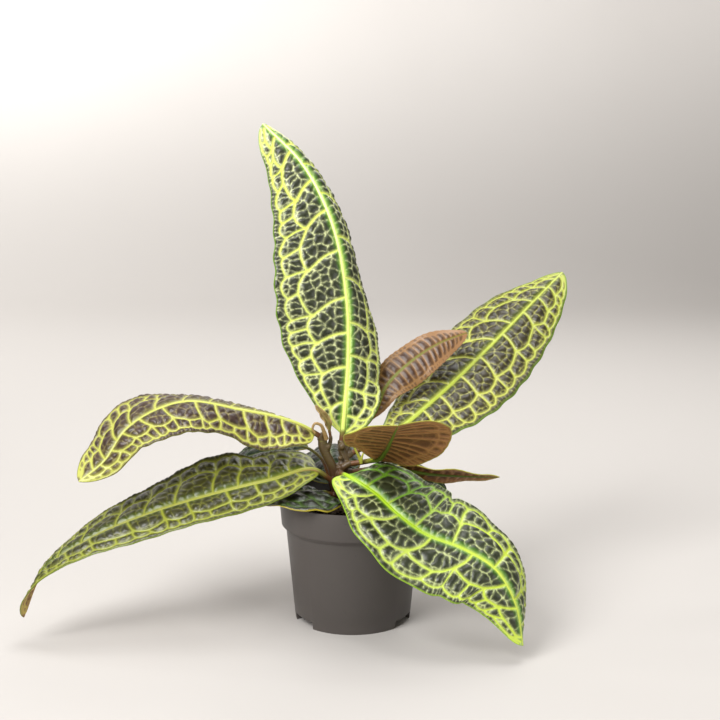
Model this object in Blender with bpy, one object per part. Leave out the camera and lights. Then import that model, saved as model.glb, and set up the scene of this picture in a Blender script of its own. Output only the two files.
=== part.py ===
"""A potted labisia: netted, blistered leaves on a short stem, in a round nursery pot.

The origin is the middle of the pot's foot, +Z is up and -Y is the side that the plant shows best.
Lengths are millimetres in this file and metres in the scene.
"""
import math
from dataclasses import dataclass

import bmesh
import bpy
import numpy as np

MM = 0.001

# Pot
POT_RIM_RADIUS = 60.0
POT_HEIGHT = 102.0
POT_BAND_Z = 80.0
POT_BAND_RADIUS = 58.3
POT_STEP_Z = 76.0
POT_STEP_RADIUS = 54.6
POT_FOOT_RADIUS = 47.5
POT_WALL = 1.4
POT_FLOOR = 1.6
POT_SIDES = 48
FOOT_DISC_RADIUS = 36.0
FOOT_RING = 3.0
FOOT_GROOVE = 4.0
GROOVE_SLOPE = 2.0
INNER_FLOOR_RADIUS = 46.4
NOTCHES = 3
NOTCH_START = -28.0
NOTCH_WIDTH = 26.0
NOTCH_DEPTH = 12.0
NOTCH_HEIGHT = 6.0

# Soil
SOIL_Z = 91.0
SOIL_DOME = 4.0
SOIL_RINGS = (0.8, 0.5, 0.2)
SOIL_LUMP = 1.0
LUMP_WAVES = (0.31, 0.27)
STEM_HOLE = ((-14, 0, 66), (-13.5, 0, 100), (-12, 0, 120))
STEM_HOLE_RADII = (5.2, 4.9)
BAND_SLOPE = (POT_RIM_RADIUS - POT_BAND_RADIUS) / (POT_HEIGHT - POT_BAND_Z)
GAP = 0.3

# Leaf blades
BLADE_THICKNESS = 0.8
VEIN_LEAN = 0.04
LOOP_ONE = 0.5
LOOP_TWO = 0.84
BLADE_OPENING = 6.0
RIB_COLUMN = 0.1
COLUMNS = (0, RIB_COLUMN, 0.28, LOOP_ONE, 0.67, LOOP_TWO, 1)
ROWS_PER_SCUTE = 3
STALK_ROWS = 3
STALK_BLEND = 0.03
STALK_TAPER = 0.75
OUTER_HEIGHT = 0.6
EDGE_HEIGHT = 0.35
CELL_ROUNDNESS = 0.7
NET_FADE = 8.0
WAVE_SHIFT = 2.0
RIB_ABOVE = 0.3
TRACK_STEPS = 400
AIM_STEP = 0.01
FLAT_BEND = 0.001

# Stem and branches
TUBE_SIDES = 8
TUBE_RINGS = 6
SHOOT_SIDES = 6
STUB_RUN = 1.5
SHORT_STEP = 0.1
SMOOTH_ANGLE = math.radians(35)

# Colours, red, green and blue
DARK_GREEN = (0.03, 0.07, 0.02)
BROWN_GREEN = (0.09, 0.07, 0.03)
BROWN = (0.16, 0.07, 0.035)
BRONZE = (0.2, 0.12, 0.05)
TAN = (0.35, 0.2, 0.09)
STALK_GREEN = (0.12, 0.2, 0.03)
SHOOT_GREEN = (0.35, 0.45, 0.05)
POT_GREY = (0.09, 0.08, 0.075)
PEAT = (0.03, 0.02, 0.014)
LEAF_ROUGHNESS = 0.4
STALK_ROUGHNESS = 0.5
POT_ROUGHNESS = 0.45
PEAT_ROUGHNESS = 0.95


@dataclass(frozen=True)
class Half:
    """One half of a blade: its width and how it leaves the midrib, in degrees, at even places from base to tip."""

    width: float
    widest: float = 0.45  # where along the blade it is widest
    base: float = 1.0  # 1 is a plain taper, less is fuller
    tip: float = 0.6
    fold: tuple = (0, 0, 0)  # angle at the midrib, up to the upper face
    bend: tuple = (-10, -10, -10)  # further turn between midrib and margin
    dent: tuple = (0.5, 0, 0.03)  # a notch in the margin: its place, the share of the width lost, its spread


@dataclass(frozen=True)
class Leaf:
    """One leaf: where its midrib runs, which way its upper face looks, and its two halves."""

    name: str
    midrib: tuple  # points from the stalk's foot to the tip
    facing: tuple  # the way the upper face looks, at even places from foot to tip
    stalk: float  # length of the stalk before the blade
    left: Half
    right: Half
    scutes: int = 8
    blister: float = 1.6
    ripple: float = 1.0
    ripples: float = 3.0
    scallop: float = 0.015  # how far the margin swells at each scute, as a share of the width
    stalk_radius: float = 2.2
    colour: tuple = DARK_GREEN


LEAVES = (
    Leaf(
        "leaf_upright",
        midrib=((-9, 4, 147), (-6, 9, 178), (-4, 18, 206), (-5, 35, 258), (-20, 58, 327), (-43, 74, 369),
                (-76, 86, 402)),
        facing=((0, -1, 0.1), (0.1, -1, 0.2), (0.2, -1, 0.3), (0.1, -1, 0.3), (-0.1, -1, 0.4)),
        stalk=5,
        left=Half(60, widest=0.4, base=1.1, tip=0.55, fold=(5, 5, 5), bend=(5, 0, -10)),
        right=Half(38, widest=0.28, base=0.9, tip=0.5, fold=(-10, -25, -22), bend=(-20, -65, -75)),
        scutes=9,
    ),
    Leaf(
        "leaf_left_upper",
        midrib=((-27, -5, 153), (-42, -8, 163), (-90, -14, 177), (-136, -25, 185), (-177, -40, 166),
                (-193, -50, 143), (-211, -58, 129)),
        facing=((0.1, -0.4, 0.9), (0.1, -0.4, 0.9), (-0.1, -0.5, 0.8), (-0.5, -0.6, 0.5), (-0.6, -0.8, 0.2)),
        stalk=4,
        left=Half(36, widest=0.4, base=0.4, tip=0.7, fold=(-20, -18, -2, -8, -5), bend=(-30, -20, 0, -10, -20),
                  dent=(0.34, 0.24, 0.09)),
        right=Half(38, widest=0.66, base=0.8, tip=0.6, fold=(-25, -20, -23, -4, 0), bend=(-20, -20, -20, -10, -10)),
        colour=BROWN_GREEN,
    ),
    Leaf(
        "leaf_left_lower",
        midrib=((-18, -8, 117), (-30, -15, 127), (-65, -30, 123), (-112, -42, 114), (-157, -50, 102),
                (-204, -56, 83), (-242, -60, 56), (-258, -60, 20)),
        facing=((0.1, -0.35, 0.9), (0.1, -0.4, 0.9), (-0.1, -0.35, 0.9), (-0.2, -0.3, 0.9), (-0.9, -0.35, 0.2)),
        stalk=14,
        left=Half(28, widest=0.36, base=0.7, tip=0.5, fold=(-5, 0, 0, -5, 0, 15, 80), bend=(-10, -10, -10)),
        right=Half(45, widest=0.33, base=0.5, tip=1.3, fold=(-5, 5, 0, 0, 10), bend=(-20, -10, -10, -10, -20),
                   dent=(0.17, 0.14, 0.03)),
    ),
    Leaf(
        "leaf_front",
        midrib=((-9, -9, 122), (-4, -22, 124), (18, -41, 115), (34, -57, 104), (55, -68, 91), (86, -78, 81),
                (109, -86, 68), (123, -94, 45), (129, -103, 14)),
        facing=((0.1, -0.5, 0.85), (0.05, -0.55, 0.8), (0.1, -0.65, 0.75), (0.5, -0.55, 0.7), (0.8, -0.5, 0.2)),
        stalk=6,
        left=Half(48, widest=0.44, base=0.55, tip=0.55, fold=(2, 2, -2, -6, -20), bend=(-10, -10, -15),
                  dent=(0.45, 0.12, 0.03)),
        right=Half(44, widest=0.5, base=0.52, tip=0.6, fold=(0, 5, -5, -25, -30), bend=(-10, -10, -10)),
    ),
    Leaf(
        "leaf_right_back",
        midrib=((0, 6, 136), (28, 14, 148), (70, 45, 174), (115, 80, 209), (161, 112, 249), (188, 135, 271)),
        facing=((-0.2, -0.6, 0.8), (-0.3, -0.7, 0.6), (-0.3, -0.8, 0.6), (-0.3, -0.8, 0.6)),
        stalk=22,
        left=Half(46, widest=0.5, base=0.8, tip=0.7, fold=(-5, -5, -5), bend=(-10, -10, -10)),
        right=Half(46, widest=0.45, base=0.8, tip=0.6, fold=(-5, -5, -5), bend=(-10, -10, -10)),
    ),
    Leaf(
        "leaf_young_upper",
        midrib=((-3, 9, 143), (19, 32, 166), (28, 44, 184), (48, 52, 203), (74, 58, 219), (97, 62, 227)),
        facing=((-0.3, -0.9, 0.4), (-0.3, -0.9, 0.4), (-0.3, -0.9, 0.4)),
        stalk=26,
        left=Half(17, widest=0.5, base=0.9, tip=0.6),
        right=Half(20, widest=0.55, base=0.9, tip=0.6),
        scutes=6, blister=1.0, colour=BROWN,
    ),
    Leaf(
        "leaf_young_front",
        midrib=((-1, -2, 129), (11, -3, 131), (20, -13, 136), (26, -30, 147), (29, -52, 159), (34, -95, 182)),
        facing=((0, 0.5, 0.85), (0, 0.5, 0.85), (0, 0.5, 0.85), (0, 0.45, 0.85)),
        stalk=18,
        left=Half(45, widest=0.72, base=0.35, tip=0.4, fold=(-14, -18, 2, 20)),
        right=Half(37, widest=0.62, base=0.9, tip=0.4, fold=(0, 5, 5)),
        scutes=5, blister=1.0, colour=BROWN,
    ),
    Leaf(
        "leaf_young_right",
        midrib=((0, 3, 121), (30, 5, 124), (68, 6, 118.5), (96, 7, 116.5), (121, 9, 115)),
        facing=((0, 0.5, 0.85), (0, 0.6, 0.8), (0, 0.6, 0.8)),
        stalk=14,
        left=Half(14, widest=0.5, base=0.8, tip=0.8),
        right=Half(14, widest=0.5, base=0.8, tip=0.8),
        scutes=3, blister=0.8, colour=BROWN,
    ),
    Leaf(
        "leaf_back_right",
        midrib=((-4, 7, 114), (28, 18, 117), (54, 24, 113), (74, 26, 100), (83, 27, 83)),
        facing=((0.2, -0.2, 0.9), (0.4, -0.3, 0.8), (0.9, -0.3, 0.4)),
        stalk=14,
        left=Half(20, widest=0.5, base=0.8, tip=0.6),
        right=Half(13, widest=0.5, base=0.8, tip=0.6),
        scutes=4,
    ),
    Leaf(
        "leaf_back_left",
        midrib=((-19, 3, 113), (-25, 6, 130), (-36, 12, 138), (-62, 25, 134), (-92, 36, 124), (-118, 44, 108)),
        facing=((0, -0.3, 0.9), (0, -0.3, 0.9), (-0.4, -0.3, 0.9)),
        stalk=34,
        left=Half(24, widest=0.5, base=0.8, tip=0.8),
        right=Half(24, widest=0.5, base=0.8, tip=0.8),
        scutes=4, stalk_radius=1.3,
    ),
    Leaf(
        "leaf_under_left",
        midrib=((-17, -6, 104), (-32, -17, 110.5), (-50, -25, 111.5), (-63, -28, 108.5), (-74, -29, 103)),
        facing=((0, 0, 1), (0, -0.1, 1), (-0.3, -0.1, 1)),
        stalk=8,
        left=Half(40, widest=0.3, base=0.5, tip=0.9),
        right=Half(28, widest=0.4, base=0.7, tip=0.8),
        scutes=4,
    ),
    Leaf(
        "leaf_back",
        midrib=((-15, 5, 106), (-18, 22, 117), (-20, 48, 125), (-22, 80, 124), (-26, 112, 108)),
        facing=((0, -0.5, 0.85), (0, -0.5, 0.85), (0, -0.3, 0.95)),
        stalk=6,
        left=Half(30, widest=0.4, base=0.6, tip=0.7, fold=(-15, -15, -15)),
        right=Half(28, widest=0.4, base=0.6, tip=0.7, fold=(-5, -5, -5)),
        scutes=4,
    ),
    Leaf(
        "bud_leaf",
        midrib=((-18, -2, 152), (-20, -3, 163), (-30, -5, 178)),
        facing=((0.5, -1, 0.3), (0.5, -1, 0.3)),
        stalk=3,
        left=Half(3.5, fold=(30, 30, 30)),
        right=Half(3.5, fold=(30, 30, 30)),
        scutes=2, blister=0, stalk_radius=1.2, colour=BRONZE,
    ),
)

# Crown: each branch is a row of points and the radii at its two ends
STEM = (((-14, 0, 68), (-13.5, 0, 100), (-12, 0, 128)), (4.6, 3.6))
BRANCHES = (
    (((-12.5, 0, 112), (-17, -3, 128), (-24, -5, 144)), (3.6, 3.2), "leaf_left_upper"),
    (((-12.5, 0, 116), (-6, 2, 130), (-9, 4, 140)), (3.4, 3.0), "leaf_upright"),
    (((-13, 0, 102), (-15, -5, 110)), (3.0, 2.5), "leaf_left_lower"),
    (((-13, 0, 112), (-11, -4, 119)), (3.2, 2.8), "leaf_front"),
    (((-12, 0, 124), (-5, 4, 133)), (3.0, 2.7), "leaf_right_back"),
    (((-9, 3, 130), (-6, 6, 138)), (3.0, 2.6), "leaf_young_upper"),
    (((-11, 0, 122), (-6, -2, 127)), (3.0, 2.6), "leaf_young_front"),
    (((-12, 0, 114), (-5, 2, 120)), (3.0, 2.6), "leaf_young_right"),
    (((-13, 0, 106), (-8, 4, 112)), (3.0, 2.6), "leaf_back_right"),
    (((-13, 0, 102), (-17, 2, 108)), (2.4, 1.5), "leaf_back_left"),
    (((-13, 0, 98), (-15, -4, 102)), (3.0, 2.6), "leaf_under_left"),
    (((-13, 0, 98), (-14, 3, 102)), (3.0, 2.6), "leaf_back"),
    (((-21, -4, 138), (-18, -2, 148)), (1.8, 1.5), "bud_leaf"),
)
CURLED_SHOOT = ((-21, -9, 151), (-23, -11, 158), (-26, -13, 164), (-30, -14, 165), (-32, -14, 161), (-30, -14, 157))
THIN_SHOOT = (
    ((7, -6.6, 130.5), (5, -7.4, 136), (2, -8.6, 143), (-1, -9.6, 150)),
    ((7, -6.6, 130.5), (7.4, -7.2, 135), (8.7, -7.4, 139)),
)
CURL_RADII = (1.8, 0.9)
THIN_RADII = (1.2, 0.7)


def smooth_curve(knots, values, places):
    """Values of a smooth curve through the knots, read at the places."""
    knots = np.asarray(knots, float)
    values = np.asarray(values, float)
    slopes = np.gradient(values, knots, axis=0)
    index = np.clip(np.searchsorted(knots, places, side="right") - 1, 0, len(knots) - 2)
    span = knots[index + 1] - knots[index]
    u = (places - knots[index]) / span
    extra = (None,) * (values.ndim - 1)
    u = u[(...,) + extra]
    span = span[(...,) + extra]
    start = (1 + 2 * u) * (1 - u) ** 2 * values[index]
    end = u ** 2 * (3 - 2 * u) * values[index + 1]
    leave = u * (1 - u) ** 2 * span * slopes[index]
    arrive = u ** 2 * (u - 1) * span * slopes[index + 1]
    return start + end + leave + arrive


def unit(vectors):
    """The vectors at length one."""
    return vectors / np.linalg.norm(vectors, axis=-1, keepdims=True)


class LeafFrame:
    """Places and directions along a leaf, by the share of its length from foot to tip."""

    def __init__(self, leaf):
        self.leaf = leaf
        points = np.array(leaf.midrib, float)
        chord = np.concatenate([[0], np.cumsum(np.linalg.norm(np.diff(points, axis=0), axis=1))])
        fine = np.linspace(0, chord[-1], TRACK_STEPS)
        track = smooth_curve(chord, points, fine)
        run = np.concatenate([[0], np.cumsum(np.linalg.norm(np.diff(track, axis=0), axis=1))])
        self.length = run[-1]
        self.run = run / run[-1]
        self.track = track

    def point(self, share):
        """Midrib point at each share."""
        return np.stack([np.interp(share, self.run, self.track[:, axis]) for axis in range(3)], -1)

    def at(self, share):
        """Midrib point, tangent, right-hand direction and upward normal at each share."""
        ahead = self.point(np.minimum(share + AIM_STEP, 1))
        tangent = unit(ahead - self.point(np.maximum(share - AIM_STEP, 0)))
        looks = smooth_curve(np.linspace(0, 1, len(self.leaf.facing)), self.leaf.facing, share)
        right = unit(np.cross(tangent, looks))
        return self.point(share), tangent, right, np.cross(right, tangent)

    def blade(self, share):
        """How far along the blade each share is: 0 at its base, 1 at its tip."""
        start = self.leaf.stalk / self.length
        return np.clip((share - start) / (1 - start), 0, 1)

    def half(self, half, b, phase):
        """Width, fold and bend of one half where the share b of the blade lies behind."""
        power = math.log(0.5) / math.log(half.widest)
        taper = half.base + (half.tip - half.base) * b
        width = half.width * np.abs(np.sin(np.pi * b ** power)) ** taper
        place, depth, spread = half.dent
        width *= 1 - depth * np.exp(-(((b - place) / spread) ** 2))
        width *= 1 - self.leaf.scallop * np.cos(2 * np.pi * phase)
        width = np.maximum(width, self.leaf.stalk_radius * (1 - STALK_TAPER * b))
        opening = np.clip(b * BLADE_OPENING, 0, 1)
        fold, bend = (
            smooth_curve(np.linspace(0, 1, len(angles)), np.radians(np.array(angles, float)), b) * opening
            for angles in (half.fold, half.bend)
        )
        return width, fold, np.where(np.abs(bend) < FLAT_BEND, FLAT_BEND, bend)

    def surface(self, share, across):
        """Point and upward normal of the smooth sheet; across runs from -1, left edge, to 1, right edge."""
        point, _, right, up = self.at(share)
        on_left = across < 0
        b = self.blade(share)
        phase = scute_phase(self.leaf, b, across)
        wide, fold, bend = (
            np.where(on_left, left, right)
            for left, right in zip(self.half(self.leaf.left, b, phase), self.half(self.leaf.right, b, phase))
        )
        side = np.where(on_left, -1.0, 1.0)
        angle = fold + bend * np.abs(across)
        out = wide / bend * (np.sin(angle) - np.sin(fold))
        lift = -wide / bend * (np.cos(angle) - np.cos(fold))
        place = point + right * (side * out)[..., None] + up * lift[..., None]
        normal = up * np.cos(angle)[..., None] - right * (side * np.sin(angle))[..., None]
        return place, normal


def scute_phase(leaf, b, across):
    """Scutes counted along a half of the blade: whole numbers lie on the side veins."""
    return b * leaf.scutes + np.where(across > 0, 1 / ROWS_PER_SCUTE, 0)


def relief(leaf, b, row, across):
    """Height of the blistered net over the smooth sheet, and the thickness below it; the net follows the rows."""
    q = np.abs(across)
    phase = scute_phase(leaf, row, across)
    near = np.abs(np.sin(np.pi * phase))
    far = np.abs(np.cos(np.pi * phase))
    inner = near * np.sin(np.pi * np.clip(q / LOOP_ONE, 0, 1)) ** CELL_ROUNDNESS
    outer = OUTER_HEIGHT * far * np.sin(np.pi * np.clip((q - LOOP_ONE) / (LOOP_TWO - LOOP_ONE), 0, 1))
    edge = EDGE_HEIGHT * near * np.clip((q - LOOP_TWO) / (1 - LOOP_TWO), 0, 1)
    fade = np.clip(np.minimum(b, 1 - b) * NET_FADE, 0, 1)
    net = leaf.blister * fade * (inner + outer + edge)
    turn = 2 * np.pi * leaf.ripples * b + np.where(across > 0, WAVE_SHIFT, 0)
    wave = leaf.ripple * fade * q ** 2 * np.sin(turn)
    rib = (1 - STALK_TAPER * b) * leaf.stalk_radius * (q < RIB_COLUMN / 2)
    return net + wave - RIB_ABOVE * rib, BLADE_THICKNESS + rib


def leaf_sheets(leaf):
    """Upper and lower points of one leaf, a row for each place along it."""
    frame = LeafFrame(leaf)
    start = leaf.stalk / frame.length
    stalk_rows = np.linspace(0, start, STALK_ROWS, endpoint=False)
    blade_rows = np.linspace(0, 1, leaf.scutes * ROWS_PER_SCUTE + 1)
    columns = np.array([-c for c in COLUMNS[:0:-1]] + list(COLUMNS))
    rows = np.concatenate([stalk_rows, start + (1 - start) * blade_rows])
    share, across = np.meshgrid(rows, columns, indexing="ij")
    row = frame.blade(share)
    share = share - VEIN_LEAN * np.sin(np.pi * row) * np.abs(across)
    b = frame.blade(share)
    place, normal = frame.surface(share, across)
    net, thick = relief(leaf, b, row, across)
    round_part = np.exp(-((b / STALK_BLEND) ** 2))
    oval = np.maximum(leaf.stalk_radius * np.sqrt(1 - across ** 2), BLADE_THICKNESS / 2)
    above = net * (1 - round_part) + oval * round_part
    below = (net - thick) * (1 - round_part) - oval * round_part
    return place + normal * above[..., None], place + normal * below[..., None]


def new_object(name, mesh_data, material):
    """A scene object for a finished bmesh, with its material."""
    mesh = bpy.data.meshes.new(name)
    bmesh.ops.recalc_face_normals(mesh_data, faces=mesh_data.faces)
    mesh_data.to_mesh(mesh)
    mesh_data.free()
    mesh.shade_smooth()
    mesh.set_sharp_from_angle(angle=SMOOTH_ANGLE)
    mesh.materials.append(material)
    body = bpy.data.objects.new(name, mesh)
    bpy.context.scene.collection.objects.link(body)
    return body


def plain_material(name, colour, roughness):
    """A plain surface of one colour."""
    material = bpy.data.materials.new(name)
    material.use_nodes = True
    shader = material.node_tree.nodes["Principled BSDF"]
    shader.inputs["Base Color"].default_value = (*colour, 1)
    shader.inputs["Roughness"].default_value = roughness
    shader.inputs["Metallic"].default_value = 0
    return material


def build_leaf(leaf):
    """One leaf as a closed sheet, split into triangles alike on both faces."""
    upper, lower = leaf_sheets(leaf)
    mesh_data = bmesh.new()
    top = [[mesh_data.verts.new(point * MM) for point in row] for row in upper]
    bottom = [[mesh_data.verts.new(point * MM) for point in row] for row in lower]
    rows = len(top)
    columns = len(top[0])
    for i in range(rows - 1):
        for j in range(columns - 1):
            for sheet in (top, bottom):
                corners = (sheet[i][j], sheet[i + 1][j], sheet[i + 1][j + 1], sheet[i][j + 1])
                first = 0 if j < columns // 2 else 1
                a, b, c, d = corners[first:] + corners[:first]
                mesh_data.faces.new((a, b, c))
                mesh_data.faces.new((a, c, d))
        for j in (0, columns - 1):
            mesh_data.faces.new((top[i][j], top[i + 1][j], bottom[i + 1][j]))
            mesh_data.faces.new((top[i][j], bottom[i + 1][j], bottom[i][j]))
    for i in (0, rows - 1):
        for j in range(columns - 1):
            mesh_data.faces.new((top[i][j], top[i][j + 1], bottom[i][j + 1], bottom[i][j]))
    return new_object(leaf.name, mesh_data, plain_material(leaf.name, leaf.colour, LEAF_ROUGHNESS))


def tube(points, radii, sides=TUBE_SIDES):
    """A closed tapered tube through the points, as a bmesh."""
    points = np.array(points, float)
    chord = np.concatenate([[0], np.cumsum(np.linalg.norm(np.diff(points, axis=0), axis=1))])
    places = np.linspace(0, chord[-1], TUBE_RINGS)
    track = smooth_curve(chord, points, places)
    ahead = smooth_curve(chord, points, np.minimum(places + SHORT_STEP, chord[-1]))
    heading = unit(ahead - smooth_curve(chord, points, np.maximum(places - SHORT_STEP, 0)))
    mesh_data = bmesh.new()
    rings = []
    side = unit(np.cross(heading[0], (0.3, 1, 0.2)))
    for place, ahead, share in zip(track, heading, np.linspace(0, 1, len(track))):
        side = unit(side - ahead * np.dot(side, ahead))
        other = np.cross(ahead, side)
        radius = radii[0] + (radii[-1] - radii[0]) * share
        turns = np.arange(sides) * 2 * np.pi / sides
        ring = [place + radius * (np.cos(t) * side + np.sin(t) * other) for t in turns]
        rings.append([mesh_data.verts.new(point * MM) for point in ring])
    for low, high in zip(rings, rings[1:]):
        for k in range(sides):
            n = (k + 1) % sides
            mesh_data.faces.new((low[k], low[n], high[n], high[k]))
    mesh_data.faces.new(rings[0])
    mesh_data.faces.new(rings[-1])
    return mesh_data


def boolean(body, operation, others):
    """Join the others to the body, or cut them out of it, and remove them."""
    group = bpy.data.collections.new("operands")
    bpy.context.scene.collection.children.link(group)
    for other in others:
        for home in other.users_collection:
            home.objects.unlink(other)
        group.objects.link(other)
    cut = body.modifiers.new("join", "BOOLEAN")
    cut.operation = operation
    cut.solver = "EXACT"
    cut.operand_type = "COLLECTION"
    cut.collection = group
    graph = bpy.context.evaluated_depsgraph_get()
    mesh = bpy.data.meshes.new_from_object(body.evaluated_get(graph))
    body.modifiers.clear()
    body.data = mesh
    for other in others:
        bpy.data.objects.remove(other)
    bpy.data.collections.remove(group)


def build_crown():
    """The short stem with a branch or a stub to the foot of each leaf."""
    material = plain_material("crown", STALK_GREEN, STALK_ROUGHNESS)
    stem = new_object("crown", tube(*STEM), material)
    leaves = {leaf.name: leaf for leaf in LEAVES}
    parts = []
    for points, radii, name in BRANCHES:
        frame = LeafFrame(leaves[name])
        foot, tangent, _, _ = frame.at(np.array([0.0]))
        end = foot[0] - tangent[0] * GAP
        before = end - tangent[0] * STUB_RUN
        parts.append(new_object(name + "_stub", tube((*points, before, end), radii), material))
    boolean(stem, "UNION", parts)


def build_shoots():
    """The curled shoot beside the bud, and the forked thin shoot on a young leaf's stalk."""
    material = plain_material("curled_shoot", TAN, STALK_ROUGHNESS)
    new_object("curled_shoot", tube(CURLED_SHOOT, CURL_RADII, SHOOT_SIDES), material)
    material = plain_material("thin_shoot", SHOOT_GREEN, STALK_ROUGHNESS)
    fork = [new_object("thin_shoot", tube(points, THIN_RADII, SHOOT_SIDES), material) for points in THIN_SHOOT]
    boolean(fork[0], "UNION", fork[1:])


def lathe(profile, sides):
    """A closed turned body from a profile of radius and height that starts and ends on the axis."""
    mesh_data = bmesh.new()
    rings = []
    for radius, height in profile:
        if radius == 0:
            rings.append([mesh_data.verts.new((0, 0, height * MM))])
        else:
            turns = np.arange(sides) * 2 * np.pi / sides
            rings.append([mesh_data.verts.new(
                (radius * math.cos(t) * MM, radius * math.sin(t) * MM, height * MM)) for t in turns])
    for low, high in zip(rings, rings[1:]):
        for k in range(sides):
            n = (k + 1) % sides
            if len(low) == 1:
                mesh_data.faces.new((low[0], high[k], high[n]))
            elif len(high) == 1:
                mesh_data.faces.new((low[k], low[n], high[0]))
            else:
                mesh_data.faces.new((low[k], low[n], high[n], high[k]))
    return mesh_data


def build_pot():
    """The thin pot: a foot with three drain notches, a tapered wall, a step and a wide top band."""
    ring = POT_FOOT_RADIUS - FOOT_RING
    outside = (
        (0, 0), (FOOT_DISC_RADIUS, 0), (FOOT_DISC_RADIUS + GROOVE_SLOPE, FOOT_GROOVE),
        (ring - GROOVE_SLOPE / 2, FOOT_GROOVE), (ring, 0), (POT_FOOT_RADIUS, 0), (POT_STEP_RADIUS, POT_STEP_Z),
        (POT_BAND_RADIUS, POT_BAND_Z), (POT_RIM_RADIUS, POT_HEIGHT),
    )
    inside = (
        (POT_RIM_RADIUS - POT_WALL, POT_HEIGHT), (POT_BAND_RADIUS - POT_WALL, POT_BAND_Z),
        (POT_STEP_RADIUS - POT_WALL, POT_STEP_Z), (INNER_FLOOR_RADIUS, FOOT_GROOVE + POT_FLOOR),
        (FOOT_DISC_RADIUS, FOOT_GROOVE + POT_FLOOR), (FOOT_DISC_RADIUS - GROOVE_SLOPE, POT_FLOOR), (0, POT_FLOOR),
    )
    material = plain_material("pot", POT_GREY, POT_ROUGHNESS)
    pot = new_object("pot", lathe(outside + inside, POT_SIDES), material)
    cutters = []
    for k in range(NOTCHES):
        turn = math.radians(NOTCH_START + k * 360 / NOTCHES)
        bpy.ops.mesh.primitive_cube_add(size=1)
        box = bpy.context.object
        box.scale = (NOTCH_DEPTH * MM, NOTCH_WIDTH * MM, 2 * NOTCH_HEIGHT * MM)
        box.rotation_euler = (0, 0, turn)
        box.location = (POT_FOOT_RADIUS * math.cos(turn) * MM, POT_FOOT_RADIUS * math.sin(turn) * MM, 0)
        cutters.append(box)
    bpy.context.view_layer.update()
    boolean(pot, "DIFFERENCE", cutters)


def build_soil():
    """The potting mix, gently domed, with a plain hole for the stem."""
    shrink = POT_WALL + GAP
    base = FOOT_GROOVE + POT_FLOOR + GAP
    profile = [(0, base), (INNER_FLOOR_RADIUS - GAP, base), (POT_STEP_RADIUS - shrink, POT_STEP_Z)]
    side = POT_BAND_RADIUS - shrink
    profile.append((side, POT_BAND_Z))
    profile.append((side + (SOIL_Z - POT_BAND_Z) * BAND_SLOPE, SOIL_Z))
    for share in SOIL_RINGS:
        profile.append((side * share, SOIL_Z + SOIL_DOME * (1 - share ** 2)))
    profile.append((0, SOIL_Z + SOIL_DOME))
    material = plain_material("soil", PEAT, PEAT_ROUGHNESS)
    soil = new_object("soil", lathe(profile, POT_SIDES), material)
    for vertex in soil.data.vertices:
        x, y, z = vertex.co / MM
        if z > SOIL_Z + GAP:
            vertex.co.z += SOIL_LUMP * math.sin(x * LUMP_WAVES[0]) * math.cos(y * LUMP_WAVES[1]) * MM
    hole = new_object("hole", tube(STEM_HOLE, STEM_HOLE_RADII), material)
    boolean(soil, "DIFFERENCE", [hole])


def main():
    """Build every piece."""
    for item in list(bpy.data.objects):
        bpy.data.objects.remove(item)
    build_pot()
    build_soil()
    build_crown()
    build_shoots()
    for leaf in LEAVES:
        build_leaf(leaf)


if __name__ == "__main__":
    main()
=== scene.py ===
"""The looks of a potted labisia: netted, blistered leaves on a short stem in a round nursery pot."""

import logging
import math
from dataclasses import dataclass, field
from enum import Enum
from typing import Any

import bpy
import numpy as np
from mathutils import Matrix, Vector


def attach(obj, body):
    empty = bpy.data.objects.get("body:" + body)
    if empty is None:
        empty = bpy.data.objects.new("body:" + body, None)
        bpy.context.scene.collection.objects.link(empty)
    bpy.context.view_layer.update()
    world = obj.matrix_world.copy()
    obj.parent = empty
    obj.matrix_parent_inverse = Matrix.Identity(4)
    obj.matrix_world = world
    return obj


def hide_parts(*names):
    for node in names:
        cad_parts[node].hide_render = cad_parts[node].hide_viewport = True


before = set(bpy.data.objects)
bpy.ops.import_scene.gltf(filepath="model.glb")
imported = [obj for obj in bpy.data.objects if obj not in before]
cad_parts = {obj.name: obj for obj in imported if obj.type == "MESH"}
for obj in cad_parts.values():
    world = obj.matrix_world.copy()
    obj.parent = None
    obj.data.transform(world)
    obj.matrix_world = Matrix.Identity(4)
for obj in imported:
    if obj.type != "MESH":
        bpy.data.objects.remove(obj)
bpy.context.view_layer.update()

MM = 0.001
ROOT = "root"
Floats = np.ndarray
Colour = tuple[float, float, float]
Point = tuple[float, float, float]
log = logging.getLogger("labisia")


def tone(red: int, green: int, blue: int) -> Colour:
    """The surface colour for a tint as a screen shows it, each part from 0 to 255."""
    red, green, blue = (((part / 255 + 0.055) / 1.055) ** 2.4 for part in (red, green, blue))
    return (red, green, blue)


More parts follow.
